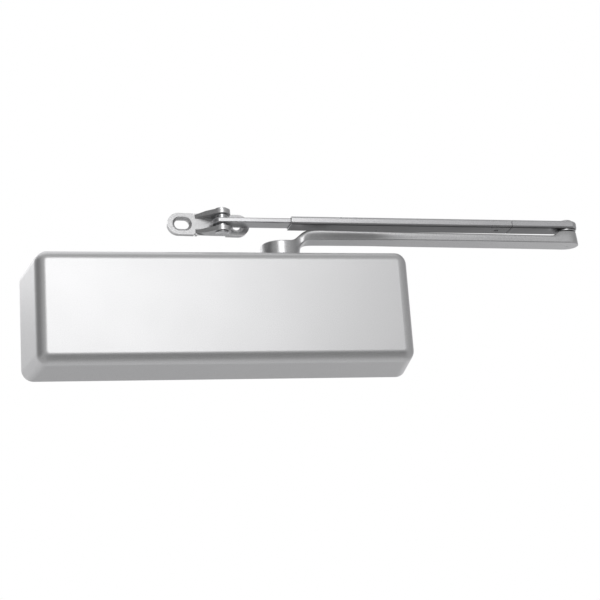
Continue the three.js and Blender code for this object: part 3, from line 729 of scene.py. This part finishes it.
def make_main_arm():
    arm = in_metres("main_arm_forging", arm_cage(), ARM_LACQUER)
    grow = arm.modifiers.new("grow", "SUBSURF")
    grow.levels = 3
    grow.render_levels = 3
    settle(arm)
    square = [(SPINDLE_X + a * SQUARE_HALF, SPINDLE_Y + b * SQUARE_HALF) for a, b in SQUARE_CORNERS]
    centre_mark = [(0, 60.0), (1.6, 60.0), (1.6, 61.9), (0.2, 62.7), (0, 62.7)]
    dimple = lathe("dimple", centre_mark, ELBOW_X, SPINDLE_Y, ARM_LACQUER, 24)
    seat = round_cutter(HUB_SEAT_RADIUS, HUB_SEAT, 70.0, SPINDLE_X, SPINDLE_Y)
    pin_bore = round_cutter(PIN_BORE, BAR_LOW, 90.0, ELBOW_X, SPINDLE_Y)
    cut(arm, [prism("square", square, 40.0, 70.0), seat, pin_bore, dimple])
    even_light(arm, 50.0)
    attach(arm, "arm")
    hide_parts("main_arm")


make_main_arm()


# ---------------------------------------- arm screw and washer
# A socket cap screw in black oxide, threaded into the end of the shaft, holds the arm down on the
# shaft's square through a turned and plated washer.
BLACK_OXIDE = bare_metal("black_oxide", (0.045, 0.045, 0.05), (0.10, 0.10, 0.105), 0.30, 0.45, 0.10, 0.8)
ARM_SCREW_SOCKET = 2.9


def flat_ring(inner, outer, low, high, chamfer):
    """The profile of a washer with chamfered outer edges."""
    profile = [(inner, low), (outer - chamfer, low), (outer, low + chamfer), (outer, high - chamfer)]
    return profile + [(outer - chamfer, high), (inner, high)]


def make_arm_fixings():
    ring = flat_ring(3.3, 7.6, 56.8, 58.0, 0.2)
    washer = lathe("arm_washer_ring", ring, SPINDLE_X, SPINDLE_Y, PLATED_STEEL)
    shank = [(0, 46.0), (3.0, 46.0), (3.0, 58.3)]
    head = [(5.3, 58.3), (5.5, 58.5), (5.5, 61.8), (5.0, 62.3), (0, 62.3)]
    screw = lathe("arm_screw_body", shank + head, SPINDLE_X, SPINDLE_Y, BLACK_OXIDE)
    cut(screw, [round_cutter(ARM_SCREW_SOCKET, 59.5, 64.0, SPINDLE_X, SPINDLE_Y, steps=6)])
    even_light(screw, 30.0)
    for piece, name, finish in ((washer, "arm_washer", "bright_steel"), (screw, "arm_screw", "dark_steel")):
        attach(piece, "arm")
        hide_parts(name)


make_arm_fixings()


# ---------------------------------------- elbow
# The forearm's solid end block turns on a brass bush round a shouldered pin. A washer keeps it
# clear of the main arm's knuckle, and the pin's low domed head holds it down.
FOREARM_YAW = math.radians(0.9)
FOREARM_MIDDLE = 79.1
FOREARM_LOW = 75.5
FOREARM_HIGH = 82.7
FOREARM_HALF = 9.45
FOREARM_ROUND = 2.0
ELBOW_EYE_RADIUS = 10.0
ELBOW_BORE = 6.6
PIN_HEAD_LOW = 83.0
SEAM = 53.0
TUBE_PIN_X = -65.0
TUBE_PIN_BORE = 2.1
BRASS = bare_metal("brass", (0.52, 0.38, 0.16), (0.66, 0.50, 0.23), 0.25, 0.38)
# The tube's lacquer, which also carries painted shade on its undersides (see below).
TUBE_LACQUER_AND_SHADE = lacquer(
    "tube_lacquer_and_painted_shade", (0.62, 0.62, 0.63), (0.82, 0.82, 0.83), 0.85, 0.26, 0.34, 1500.0, 0.18, 0.10
)


def painted_underside_shade(material, strength):
    """Painted shade: darkens the lacquer's colour on faces that point down, where shade falls under the tube
    and the end block.
    """
    tree = material.node_tree
    skin = tree.nodes["Principled BSDF"]
    tone = skin.inputs["Base Color"].links[0].from_node
    place = node(tree, "ShaderNodeTexCoord")
    split = node(tree, "ShaderNodeSeparateXYZ")
    below = node(tree, "ShaderNodeMapRange", {"From Min": -0.45, "From Max": -0.85, "To Max": strength})
    below.interpolation_type = "SMOOTHSTEP"
    mix = node(tree, "ShaderNodeMix", data_type="RGBA")
    # The dark grey of the painted shade under the tube.
    mix.inputs["B"].default_value = (0.10, 0.10, 0.105, 1.0)
    join(place, "Normal", split, "Vector")
    join(split, "Z", below, "Value")
    join(below, "Result", mix, "Factor")
    join(tone, "Color", mix, "A")
    join(mix, "Result", skin, "Base Color")


# Painted shade on the undersides of the tube and the end block, darkening their colour.
painted_underside_shade(TUBE_LACQUER_AND_SHADE, 0.85)


def elbow_place():
    """Where the forearm's own frame lies: the elbow's axis, turned with the forearm."""
    return Matrix.Translation((ELBOW_X * MM, SPINDLE_Y * MM, 0.0)) @ Matrix.Rotation(FOREARM_YAW, 4, "Z")


def slab(name, outline, low, high, radius, material, steps=5):
    """A flat piece whose upper and lower edges are rounded; outline gives the plan for an inset."""
    rings = []
    for level, towards in ((low, 1.0), (high, -1.0)):
        quarter = []
        for step in range(steps + 1):
            turn = math.radians(90.0 * step / steps)
            inset = radius * (1.0 - math.sin(turn))
            height = level + towards * radius * (1.0 - math.cos(turn))
            quarter.append([(x, y, height) for x, y in outline(inset)])
        rings += quarter if towards > 0 else list(reversed(quarter))
    return even_light(finished(name, loft(bmesh.new(), rings), material))


def eye_plan(bar_end, half, eye_x, radius):
    """A bar that ends in a round eye on its axis; the bar's end lies on the other side of the eye."""
    meet = math.degrees(math.asin(half / radius))
    side = 1 if eye_x > bar_end else -1
    start = 0 if side > 0 else 180
    corners = [(bar_end, side * half), (bar_end, -side * half)]
    return corners + arc(eye_x, 0, radius, start - meet, start + meet, 28)


def elbow_plan(inset):
    """Bar from the seam to a round end that is a little wider than the bar."""
    return eye_plan(-SEAM, FOREARM_HALF - inset, 0, ELBOW_EYE_RADIUS - inset)


def tube_pin_bore():
    return round_cutter(TUBE_PIN_BORE, 60.0, FOREARM_MIDDLE, TUBE_PIN_X, 0, steps=32)


def make_elbow():
    block = slab("elbow_end_block", elbow_plan, FOREARM_LOW, FOREARM_HIGH, FOREARM_ROUND, TUBE_LACQUER_AND_SHADE)
    tongue = prism("tongue", rounded_outline(7.6, 2.2, 0.8, 4), -SEAM - 20.0, -SEAM + 1.0, "X")
    tongue.data.transform(Matrix.Translation((0, 0, FOREARM_MIDDLE * MM)))
    cut(block, [tongue], "UNION")
    cut(block, [round_cutter(ELBOW_BORE, 70.0, 90.0, 0, 0), tube_pin_bore()])
    even_light(block)
    sleeve = [(PIN_BORE, 75.7), (6.3, 75.7), (6.3, 82.5), (PIN_BORE, 82.5)]
    bush = lathe("elbow_bush_ring", sleeve, 0, 0, BRASS)
    washer = lathe("elbow_washer_ring", flat_ring(PIN_BORE, 9.0, 74.3, 75.2, 0.2), 0, 0, PLATED_STEEL)
    for piece, name, finish in (
        (block, "elbow_end", "arm"),
        (bush, "elbow_bush", "brass"),
        (washer, "elbow_washer", "bright_steel"),
    ):
        piece.data.transform(elbow_place())
        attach(piece, "forearm")
        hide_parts(name)
    dome = [(7.0, PIN_HEAD_LOW), (7.0, 83.4), (6.6, 84.0), (5.6, 84.5), (3.8, 85.0), (1.8, 85.25), (0, 85.3)]
    shank = [(0, PIN_LOW), (PIN_RADIUS, PIN_LOW), (PIN_RADIUS, PIN_HEAD_LOW)]
    pin = lathe("elbow_pin_body", shank + dome, ELBOW_X, SPINDLE_Y, PLATED_STEEL)
    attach(pin, "arm")
    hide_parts("elbow_pin")


make_elbow()


# ---------------------------------------- forearm tube
# A flat-oval steel tube pushed over the end block's tongue and pinned from below. The rod slides in
# it, and a set screw in a boss on its back edge clamps the rod.
TUBE_MOUTH = 250.7
TUBE_HALF_HEIGHT = 3.6
TUBE_WALL_SIDE = 1.55
TUBE_WALL_FLAT = 1.1
TUBE_CHAMFER = 0.3
SEAM_GAP = 0.3
TUBE_SPANS = 8
CLAMP_X = -220.0


def tube_ring(x, outer, chamfer):
    """One ring of the tube's outside or bore, smaller or wider by the chamfer."""
    if outer:
        sizes = (FOREARM_HALF - chamfer, TUBE_HALF_HEIGHT - chamfer, FOREARM_ROUND - chamfer)
    else:
        half = FOREARM_HALF - TUBE_WALL_SIDE + chamfer
        sizes = (half, TUBE_HALF_HEIGHT - TUBE_WALL_FLAT + chamfer, 0.8 + chamfer)
    return [(x, y, FOREARM_MIDDLE + z) for y, z in rounded_outline(*sizes, 6)]


def make_forearm_tube():
    near = -SEAM - SEAM_GAP
    far = -TUBE_MOUTH
    half_chamfer = TUBE_CHAMFER / 2
    rings = [tube_ring(near, True, TUBE_CHAMFER), tube_ring(near - TUBE_CHAMFER, True, 0.0)]
    for step in range(1, TUBE_SPANS):
        rings.append(tube_ring(near + (far - near) * step / TUBE_SPANS, True, 0.0))
    rings += [tube_ring(far + TUBE_CHAMFER, True, 0.0), tube_ring(far, True, TUBE_CHAMFER)]
    rings += [tube_ring(far, False, half_chamfer), tube_ring(far + half_chamfer, False, 0.0)]
    rings += [tube_ring(near - half_chamfer, False, 0.0), tube_ring(near, False, half_chamfer)]
    shape = loft(bmesh.new(), rings, close_ends=False, loop=True)
    tube = finished("forearm_tube_drawn", shape, TUBE_LACQUER_AND_SHADE, 30.0)
    boss = prism("boss", rounded_outline(6.0, 3.2, 1.2, 5), 8.2, 12.65, "Y")
    boss.data.transform(Matrix.Translation((CLAMP_X * MM, 0, FOREARM_MIDDLE * MM)))
    cut(tube, [boss], "UNION")
    bore = prism("bore", circle(CLAMP_X, FOREARM_MIDDLE, 2.8, 30), 0.0, 20.0, "Y")
    cut(tube, [bore, tube_pin_bore()])
    even_light(tube, 30.0)
    peg = [(0, 75.45), (1.5, 75.5), (1.8, 75.8), (1.8, 78.8), (0, 78.8)]
    pin = lathe("tube_pin_body", peg, TUBE_PIN_X, 0, BLACK_OXIDE, 24)
    for piece, name, finish in ((tube, "forearm_tube", "arm"), (pin, "tube_pin", "dark_steel")):
        piece.data.transform(elbow_place())
        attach(piece, "forearm")
        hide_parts(name)
    body = [(0, 7.7), (2.1, 7.7), (2.5, 8.1), (2.5, 12.2), (2.2, 12.45)]
    socket = [(1.5, 12.45), (1.3, 12.2), (1.3, 10.0), (0, 9.6)]
    screw = lathe("clamp_screw_body", body + socket, 0, 0, BLACK_OXIDE)
    lying = Matrix.Rotation(math.radians(-90.0), 4, "X")
    screw.data.transform(Matrix.Translation((CLAMP_X * MM, 0, FOREARM_MIDDLE * MM)) @ lying)
    screw.data.transform(elbow_place())
    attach(screw, "forearm_clamp")
    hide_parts("clamp_screw")


make_forearm_tube()


# ---------------------------------------- rod
# A flat steel rod with a forged eye, in a darker lacquer than the tube. It slides in the tube,
# which sets the length of the forearm, and the set screw clamps it there.
ROD_HALF = 7.4
ROD_LOW = 77.05
ROD_HIGH = 81.35
ROD_ROUND = 0.9
ROD_END = 96.0
EYE_DISTANCE = 308.3
EYE_RADIUS = 8.2
EYE_BORE = 3.2
ROD_LACQUER = lacquer(
    "rod_lacquer", (0.52, 0.52, 0.53), (0.68, 0.68, 0.69), 0.85, 0.26, 0.34, 1900.0, 0.10, 0.10
)


def rod_plan(inset):
    """Bar from its hidden end in the tube to the eye."""
    return eye_plan(-ROD_END - inset, ROD_HALF - inset, -EYE_DISTANCE, EYE_RADIUS - inset)


def make_rod():
    rod = slab("forearm_rod_bar", rod_plan, ROD_LOW, ROD_HIGH, ROD_ROUND, ROD_LACQUER, 4)
    cut(rod, [round_cutter(EYE_BORE, 70.0, 90.0, -EYE_DISTANCE, 0, steps=48)])
    even_light(rod)
    rod.data.transform(elbow_place())
    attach(rod, "rod")
    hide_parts("forearm_rod")


make_rod()


# ---------------------------------------- shoe
# A pressed steel bracket: a plate with round lugs for two frame screws, and two ears folded towards
# the rod. Small relief notches part the left lug from the ears, and both screw holes are sunk.
SHOE_YAW = math.radians(4.0)
SHOE_FRONT = 8.6
SHOE_BACK = 13.1
SHOE_MIDDLE = 80.0
SHOE_HALF = 9.4
SHOE_LEFT = -44.3
SHOE_RIGHT = 26.1
EAR_LEFT = -20.8
EAR_THICK = 3.9
NOSE_RADIUS = 7.5
FOLD_RADIUS = 3.2
FOLD_INNER = 1.0
RELIEF = 1.1
SLOT_X = -31.8
SLOT_HALF = 2.2
SLOT_RADIUS = 4.1
HOLE_X = 15.5
HOLE_RADIUS = 3.3
THROUGH_PLATE = (0.0, 20.0)


def shoe_place():
    """Where the shoe's own frame lies: the rivet's axis at the end of the rod, turned with the shoe."""
    rivet = elbow_place() @ Vector((-EYE_DISTANCE * MM, 0.0, 0.0))
    return Matrix.Translation(rivet) @ Matrix.Rotation(SHOE_YAW, 4, "Z")


def channel_outline():
    """The folded section in (y, z): open towards the rod, round on the outside of both folds."""
    high = SHOE_MIDDLE + SHOE_HALF
    low = SHOE_MIDDLE - SHOE_HALF
    back = SHOE_BACK - FOLD_RADIUS
    front = -NOSE_RADIUS - 1
    corner = SHOE_FRONT - FOLD_INNER
    outline = [(front, low)] + arc(back, low + FOLD_RADIUS, FOLD_RADIUS, -90, 0, 8)
    outline += arc(back, high - FOLD_RADIUS, FOLD_RADIUS, 0, 90, 8)
    outline += [(front, high), (front, high - EAR_THICK)]
    outline += list(reversed(arc(corner, high - EAR_THICK - FOLD_INNER, FOLD_INNER, 0, 90, 4)))
    outline += list(reversed(arc(corner, low + EAR_THICK + FOLD_INNER, FOLD_INNER, -90, 0, 4)))
    return outline + [(front, low + EAR_THICK)]


def ear_plan():
    """The ears from above: a round nose about the rivet, tangent to a slope from the left end."""
    reach = math.hypot(EAR_LEFT, SHOE_FRONT)
    tangent = math.degrees(math.atan2(SHOE_FRONT, EAR_LEFT) + math.acos(NOSE_RADIUS / reach))
    outline = [(NOSE_RADIUS, SHOE_BACK + 1), (EAR_LEFT, SHOE_BACK + 1), (EAR_LEFT, SHOE_FRONT)]
    return outline + arc(0, 0, NOSE_RADIUS, tangent, 360, 40)


def lug(name, end_x, inner_x):
    """One rounded lug of the plate, an outline in (x, z)."""
    side = 1 if end_x > inner_x else -1
    start = -90 if side > 0 else 90
    outline = arc(end_x - side * SHOE_HALF, SHOE_MIDDLE, SHOE_HALF, start, start + 180, 32)
    outline += [(inner_x, SHOE_MIDDLE + side * SHOE_HALF), (inner_x, SHOE_MIDDLE - side * SHOE_HALF)]
    return prism(name, outline, SHOE_FRONT, SHOE_BACK, "Y", ARM_LACQUER)


def slot_outline(radius):
    right = arc(SLOT_X + SLOT_HALF, SHOE_MIDDLE, radius, -90, 90, 24)
    return right + arc(SLOT_X - SLOT_HALF, SHOE_MIDDLE, radius, 90, 270, 24)


def hole_outline(radius):
    return circle(HOLE_X, SHOE_MIDDLE, radius, 48)


def sink(name, outline, wide, narrow, depth):
    """A cone-sided cutter that narrows into the plate from just before its front."""
    before = SHOE_FRONT - 0.5
    levels = ((before, wide), (before + depth + 0.5, narrow))
    rings = [[(x, level, z) for x, z in outline(radius)] for level, radius in levels]
    return finished(name, loft(bmesh.new(), rings), ARM_LACQUER)


def make_shoe():
    shoe = prism("shoe_pressing", channel_outline(), EAR_LEFT, NOSE_RADIUS, "X", ARM_LACQUER)
    cut(shoe, [prism("ears", ear_plan(), 60.0, 100.0)], "INTERSECT")
    left_lug = lug("left_lug", SHOE_LEFT, EAR_LEFT + 2.0)
    cut(shoe, [left_lug, lug("right_lug", SHOE_RIGHT, NOSE_RADIUS - 2.0)], "UNION")
    tools = []
    for level in (-1, 1):
        edge = SHOE_MIDDLE + level * SHOE_HALF
        notch = [(EAR_LEFT - 1.0, edge - RELIEF), (EAR_LEFT, edge - RELIEF)]
        notch += [(EAR_LEFT, edge + RELIEF), (EAR_LEFT - 1.0, edge + RELIEF)]
        tools.append(prism("notch", notch, *THROUGH_PLATE, "Y"))
        taper = [(EAR_LEFT - 1, edge + level), (EAR_LEFT - 1, edge - level * 1.5)]
        taper += [(EAR_LEFT + 8, edge), (EAR_LEFT + 8, edge + level)]
        tools.append(prism("taper", taper, -20.0, SHOE_FRONT - 0.05, "Y"))
    tools.append(prism("slot", slot_outline(SLOT_RADIUS), *THROUGH_PLATE, "Y"))
    tools.append(prism("hole", hole_outline(HOLE_RADIUS), *THROUGH_PLATE, "Y"))
    tools.append(round_cutter(3.1, 60.0, 100.0, 0, 0, steps=48))
    cut(shoe, tools)
    slot_sink = sink("slot_sink", slot_outline, 6.6, 3.9, 2.2)
    cut(shoe, [slot_sink, sink("hole_sink", hole_outline, 6.9, 3.1, 3.2)])
    soften(shoe, 0.45, 40.0, 30.0)
    shoe.data.transform(shoe_place())
    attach(shoe, "frame_shoe")
    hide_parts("shoe")


make_shoe()


# ---------------------------------------- shoe rivet and washers
# A plated rivet with two low domed heads is the pivot of the shoe, with a washer on each side of
# the rod's eye.
RIVET_RADIUS = 2.8
SHOE_GAP = 0.3


def make_shoe_rivet():
    low = SHOE_MIDDLE - SHOE_HALF
    high = SHOE_MIDDLE + SHOE_HALF
    dome = [(5.6, 0.0), (5.75, 0.15), (5.75, 0.7), (5.3, 1.15), (4.2, 1.45), (2.4, 1.65), (0, 1.7)]
    profile = [(radius, low - SHOE_GAP - height) for radius, height in reversed(dome)]
    profile += [(RIVET_RADIUS, low - SHOE_GAP), (RIVET_RADIUS, high + SHOE_GAP)]
    profile += [(radius, high + SHOE_GAP + height) for radius, height in dome]
    pieces = [(lathe("shoe_rivet_body", profile, 0, 0, PLATED_STEEL), "shoe_rivet")]
    for name, washer_low, washer_high in (
        ("shoe_washer_upper", ROD_HIGH + SHOE_GAP, high - EAR_THICK - SHOE_GAP),
        ("shoe_washer_lower", low + EAR_THICK + SHOE_GAP, ROD_LOW - SHOE_GAP),
    ):
        ring = flat_ring(3.1, 5.2, washer_low, washer_high, 0.2)
        pieces.append((lathe(name + "_ring", ring, 0, 0, PLATED_STEEL), name))
    for piece, name in pieces:
        piece.data.transform(shoe_place())
        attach(piece, "frame_shoe")
        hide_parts(name)


make_shoe_rivet()


# ---------------------------------------- body casting
# Grey iron, cast with its boss and feet, bored through and primed. It is screwed to the door by
# the four holes of the feet, and everything else is carried by it.
BARREL_RADIUS = 25.0
BORE_RADIUS = 19.05
CAP_BORE_RADIUS = 21.0
CAP_BORE_START = 129.0
BODY_HALF = 141.0
BOSS_RADIUS = 20.0
BOSS_HALF = 39.0
BEARING_BORE = 14.2
WEB_HALF = 15.0
FOOT_X = 144.0
FOOT_HOLE_X = 152.4
FOOT_HOLE_Z = 9.525
FOOT_HOLE_RADIUS = 3.6
VALVE_X = (84.0, 98.0, -24.0)
VALVE_Y = -6.0
VALVE_BORE = 3.3
CASTING_PRIMER = lacquer(
    "casting_primer", (0.10, 0.105, 0.11), (0.20, 0.205, 0.21), 0.15, 0.55, 0.70, 420.0, 0.55, 0.0
)


def along_barrel(radius, low, high):
    """A round cutter on the barrel's axis."""
    return round_cutter(radius, low, high, SPINDLE_Y, 0.0, "X")


def make_body():
    section = [(0.0, -BARREL_RADIUS), (0.0, BARREL_RADIUS)] + arc(SPINDLE_Y, 0.0, BARREL_RADIUS, 90, 270, 48)
    body = prism("body_casting", section, -BODY_HALF, BODY_HALF, "X", CASTING_PRIMER)
    parts = [round_cutter(BOSS_RADIUS, -BOSS_HALF, BOSS_HALF, SPINDLE_X, SPINDLE_Y)]
    left, right = SPINDLE_X - WEB_HALF, SPINDLE_X + WEB_HALF
    web = [(left, SPINDLE_Y), (right, SPINDLE_Y), (right, 0.0), (left, 0.0)]
    parts.append(prism("web", web, -BOSS_HALF + 3, BOSS_HALF - 3))
    for side in (-1, 1):
        pad = prism("foot", rounded_outline(14.0, 19.0, 5.0, 8), -8.0, 0.0, "Y")
        pad.data.transform(Matrix.Translation((side * FOOT_X * MM, 0.0, 0.0)))
        parts.append(pad)
    cut(body, parts, "UNION")
    tools = [
        along_barrel(BORE_RADIUS, -150, 150),
        along_barrel(CAP_BORE_RADIUS, CAP_BORE_START, 160),
        along_barrel(CAP_BORE_RADIUS, -160, -CAP_BORE_START),
        round_cutter(BEARING_BORE, -50, 50, SPINDLE_X, SPINDLE_Y),
    ]
    for side in (-1, 1):
        for level in (-1, 1):
            hole = circle(side * FOOT_HOLE_X, level * FOOT_HOLE_Z, FOOT_HOLE_RADIUS, 30)
            tools.append(prism("foot_hole", hole, -20.0, 5.0, "Y"))
    for x in VALVE_X:
        tools.append(round_cutter(VALVE_BORE, -40.0, -9.7, x, VALVE_Y, steps=32))
    cut(body, tools)
    soften(body, 0.6, 40.0, 32.0)
    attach(body, "closer")
    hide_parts("closer_body")


make_body()


# ---------------------------------------- end caps, posts and adjuster
# Hexagon end caps with an O-ring each close the barrel; the left one carries the long screw that
# sets the spring power. Two hexagon posts on the barrel take the cover screws.
PHOSPHATED_STEEL = bare_metal(
    "phosphated_steel", (0.07, 0.07, 0.075), (0.15, 0.15, 0.155), 0.38, 0.52, 0.25, 0.85, 500.0
)
SEAL_RUBBER = bare_metal(
    "seal_rubber", (0.012, 0.012, 0.012), (0.03, 0.03, 0.03), 0.60, 0.80, 0.10, 0.0, 700.0
)


def dress(material, *names):
    """Gives CAD parts whose shape is right their material."""
    for name in names:
        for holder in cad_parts[name].material_slots:
            holder.material = material


dress(PHOSPHATED_STEEL, "end_cap_left", "end_cap_right", "cover_post_left", "cover_post_right")
dress(SEAL_RUBBER, "end_cap_seal_left", "end_cap_seal_right")
dress(PLATED_STEEL, "power_adjuster")


# ---------------------------------------- springs
# Two nested compression springs of oiled wire, coiled round the power adjuster between the seat and
# the piston. Each is two lengths of coil that meet end to end.
SPRING_WIRE = bare_metal(
    "spring_wire", (0.16, 0.15, 0.14), (0.30, 0.29, 0.28), 0.22, 0.34, 0.20, 0.95, 650.0
)
SPRING_GAP = 0.3
SPRING_MEETING = -71.5
SPRINGS = (
    # name, coil radius, wire radius, turns
    ("outer_spring", 13.6, 2.4, 10),
    ("inner_spring", 8.2, 1.7, 13),
)
STEPS_PER_TURN = 32


def coil_tree():
    """Round wire wound along X from a start angle, with both ends closed."""
    inputs = [(name, "Float") for name in ("Turns", "Coil Radius", "Wire Radius", "Length")]
    inputs += [("Steps", "Int"), ("Start Angle", "Vector"), ("Start", "Vector")]
    tree, given = geometry_tree("wire_coil", inputs)
    spiral = node(tree, "GeometryNodeCurveSpiral", {"Reverse": True})
    section = node(tree, "GeometryNodeCurvePrimitiveCircle", {"Resolution": 16})
    wind = node(tree, "GeometryNodeCurveToMesh", {"Fill Caps": True})
    spin = node(tree, "GeometryNodeTransform")
    lay = node(tree, "GeometryNodeTransform", {"Rotation": (0.0, math.pi / 2, 0.0)})
    join(given, "Steps", spiral, "Resolution")
    join(given, "Turns", spiral, "Rotations")
    join(given, "Coil Radius", spiral, "Start Radius")
    join(given, "Coil Radius", spiral, "End Radius")
    join(given, "Length", spiral, "Height")
    join(given, "Wire Radius", section, "Radius")
    join(spiral, "Curve", wind, "Curve")
    join(section, "Curve", wind, "Profile Curve")
    join(wind, "Mesh", spin, "Geometry")
    join(given, "Start Angle", spin, "Rotation")
    join(spin, "Geometry", lay, "Geometry")
    join(given, "Start", lay, "Translation")
    return end_tree(tree, given, lay, "Geometry")


COIL_TREE = coil_tree()


def on_axis(x):
    """A point on the barrel's axis, in metres."""
    return (x * MM, SPINDLE_Y * MM, 0.0)


def coil(name, radius, wire, pitch, turned, low, high):
    """A length of spring in millimetres along the barrel, starting after so many turns."""
    turns = (high - low) / pitch
    given = {
        "Turns": turns,
        "Steps": round(turns * STEPS_PER_TURN),
        "Coil Radius": radius * MM,
        "Wire Radius": wire * MM,
        "Length": (high - low) * MM,
        "Start Angle": (0.0, 0.0, turned * 2 * math.pi),
        "Start": on_axis(low),
        "Material": SPRING_WIRE,
    }
    return run_tree(name, COIL_TREE, given, 50.0)


def make_springs():
    seat_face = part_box("spring_seat")[1][0] / MM
    piston_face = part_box("rack_piston")[0][0] / MM
    for name, radius, wire, turns in SPRINGS:
        low = seat_face + wire + SPRING_GAP
        high = piston_face - wire - SPRING_GAP
        pitch = (high - low) / turns
        turned = (SPRING_MEETING - low) / pitch
        at_seat = coil(name + "_seat_end", radius, wire, pitch, 0.0, low, SPRING_MEETING)
        at_piston = coil(name + "_piston_end", radius, wire, pitch, turned, SPRING_MEETING, high)
        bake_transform(at_seat)
        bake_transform(at_piston)
        for piece in (at_seat, at_piston):
            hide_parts(name)


make_springs()


# ---------------------------------------- seat and piston
# The springs push the hardened rack piston away from a seat that travels on the power adjuster.
# A brass check valve is pressed into the piston's right head.
GROUND_STEEL = bare_metal(
    "ground_steel", (0.34, 0.34, 0.35), (0.48, 0.48, 0.49), 0.22, 0.36, 0.20, 1.0, 1400.0
)
dress(GROUND_STEEL, "rack_piston", "spring_seat")
dress(BRASS, "piston_check_valve")


# ---------------------------------------- shaft, bearings and valves
# The pinion shaft is ground where it runs in two bearings. A rubber seal and a gland nut close the
# boss above, a plug closes it below, and three brass needle valves are set from underneath.
dress(GROUND_STEEL, "pinion_shaft", "upper_bearing", "lower_bearing")
dress(SEAL_RUBBER, "upper_seal")
dress(PLATED_STEEL, "gland_nut")
dress(PHOSPHATED_STEEL, "bottom_plug")
dress(BRASS, "sweep_valve", "latch_valve", "backcheck_valve")
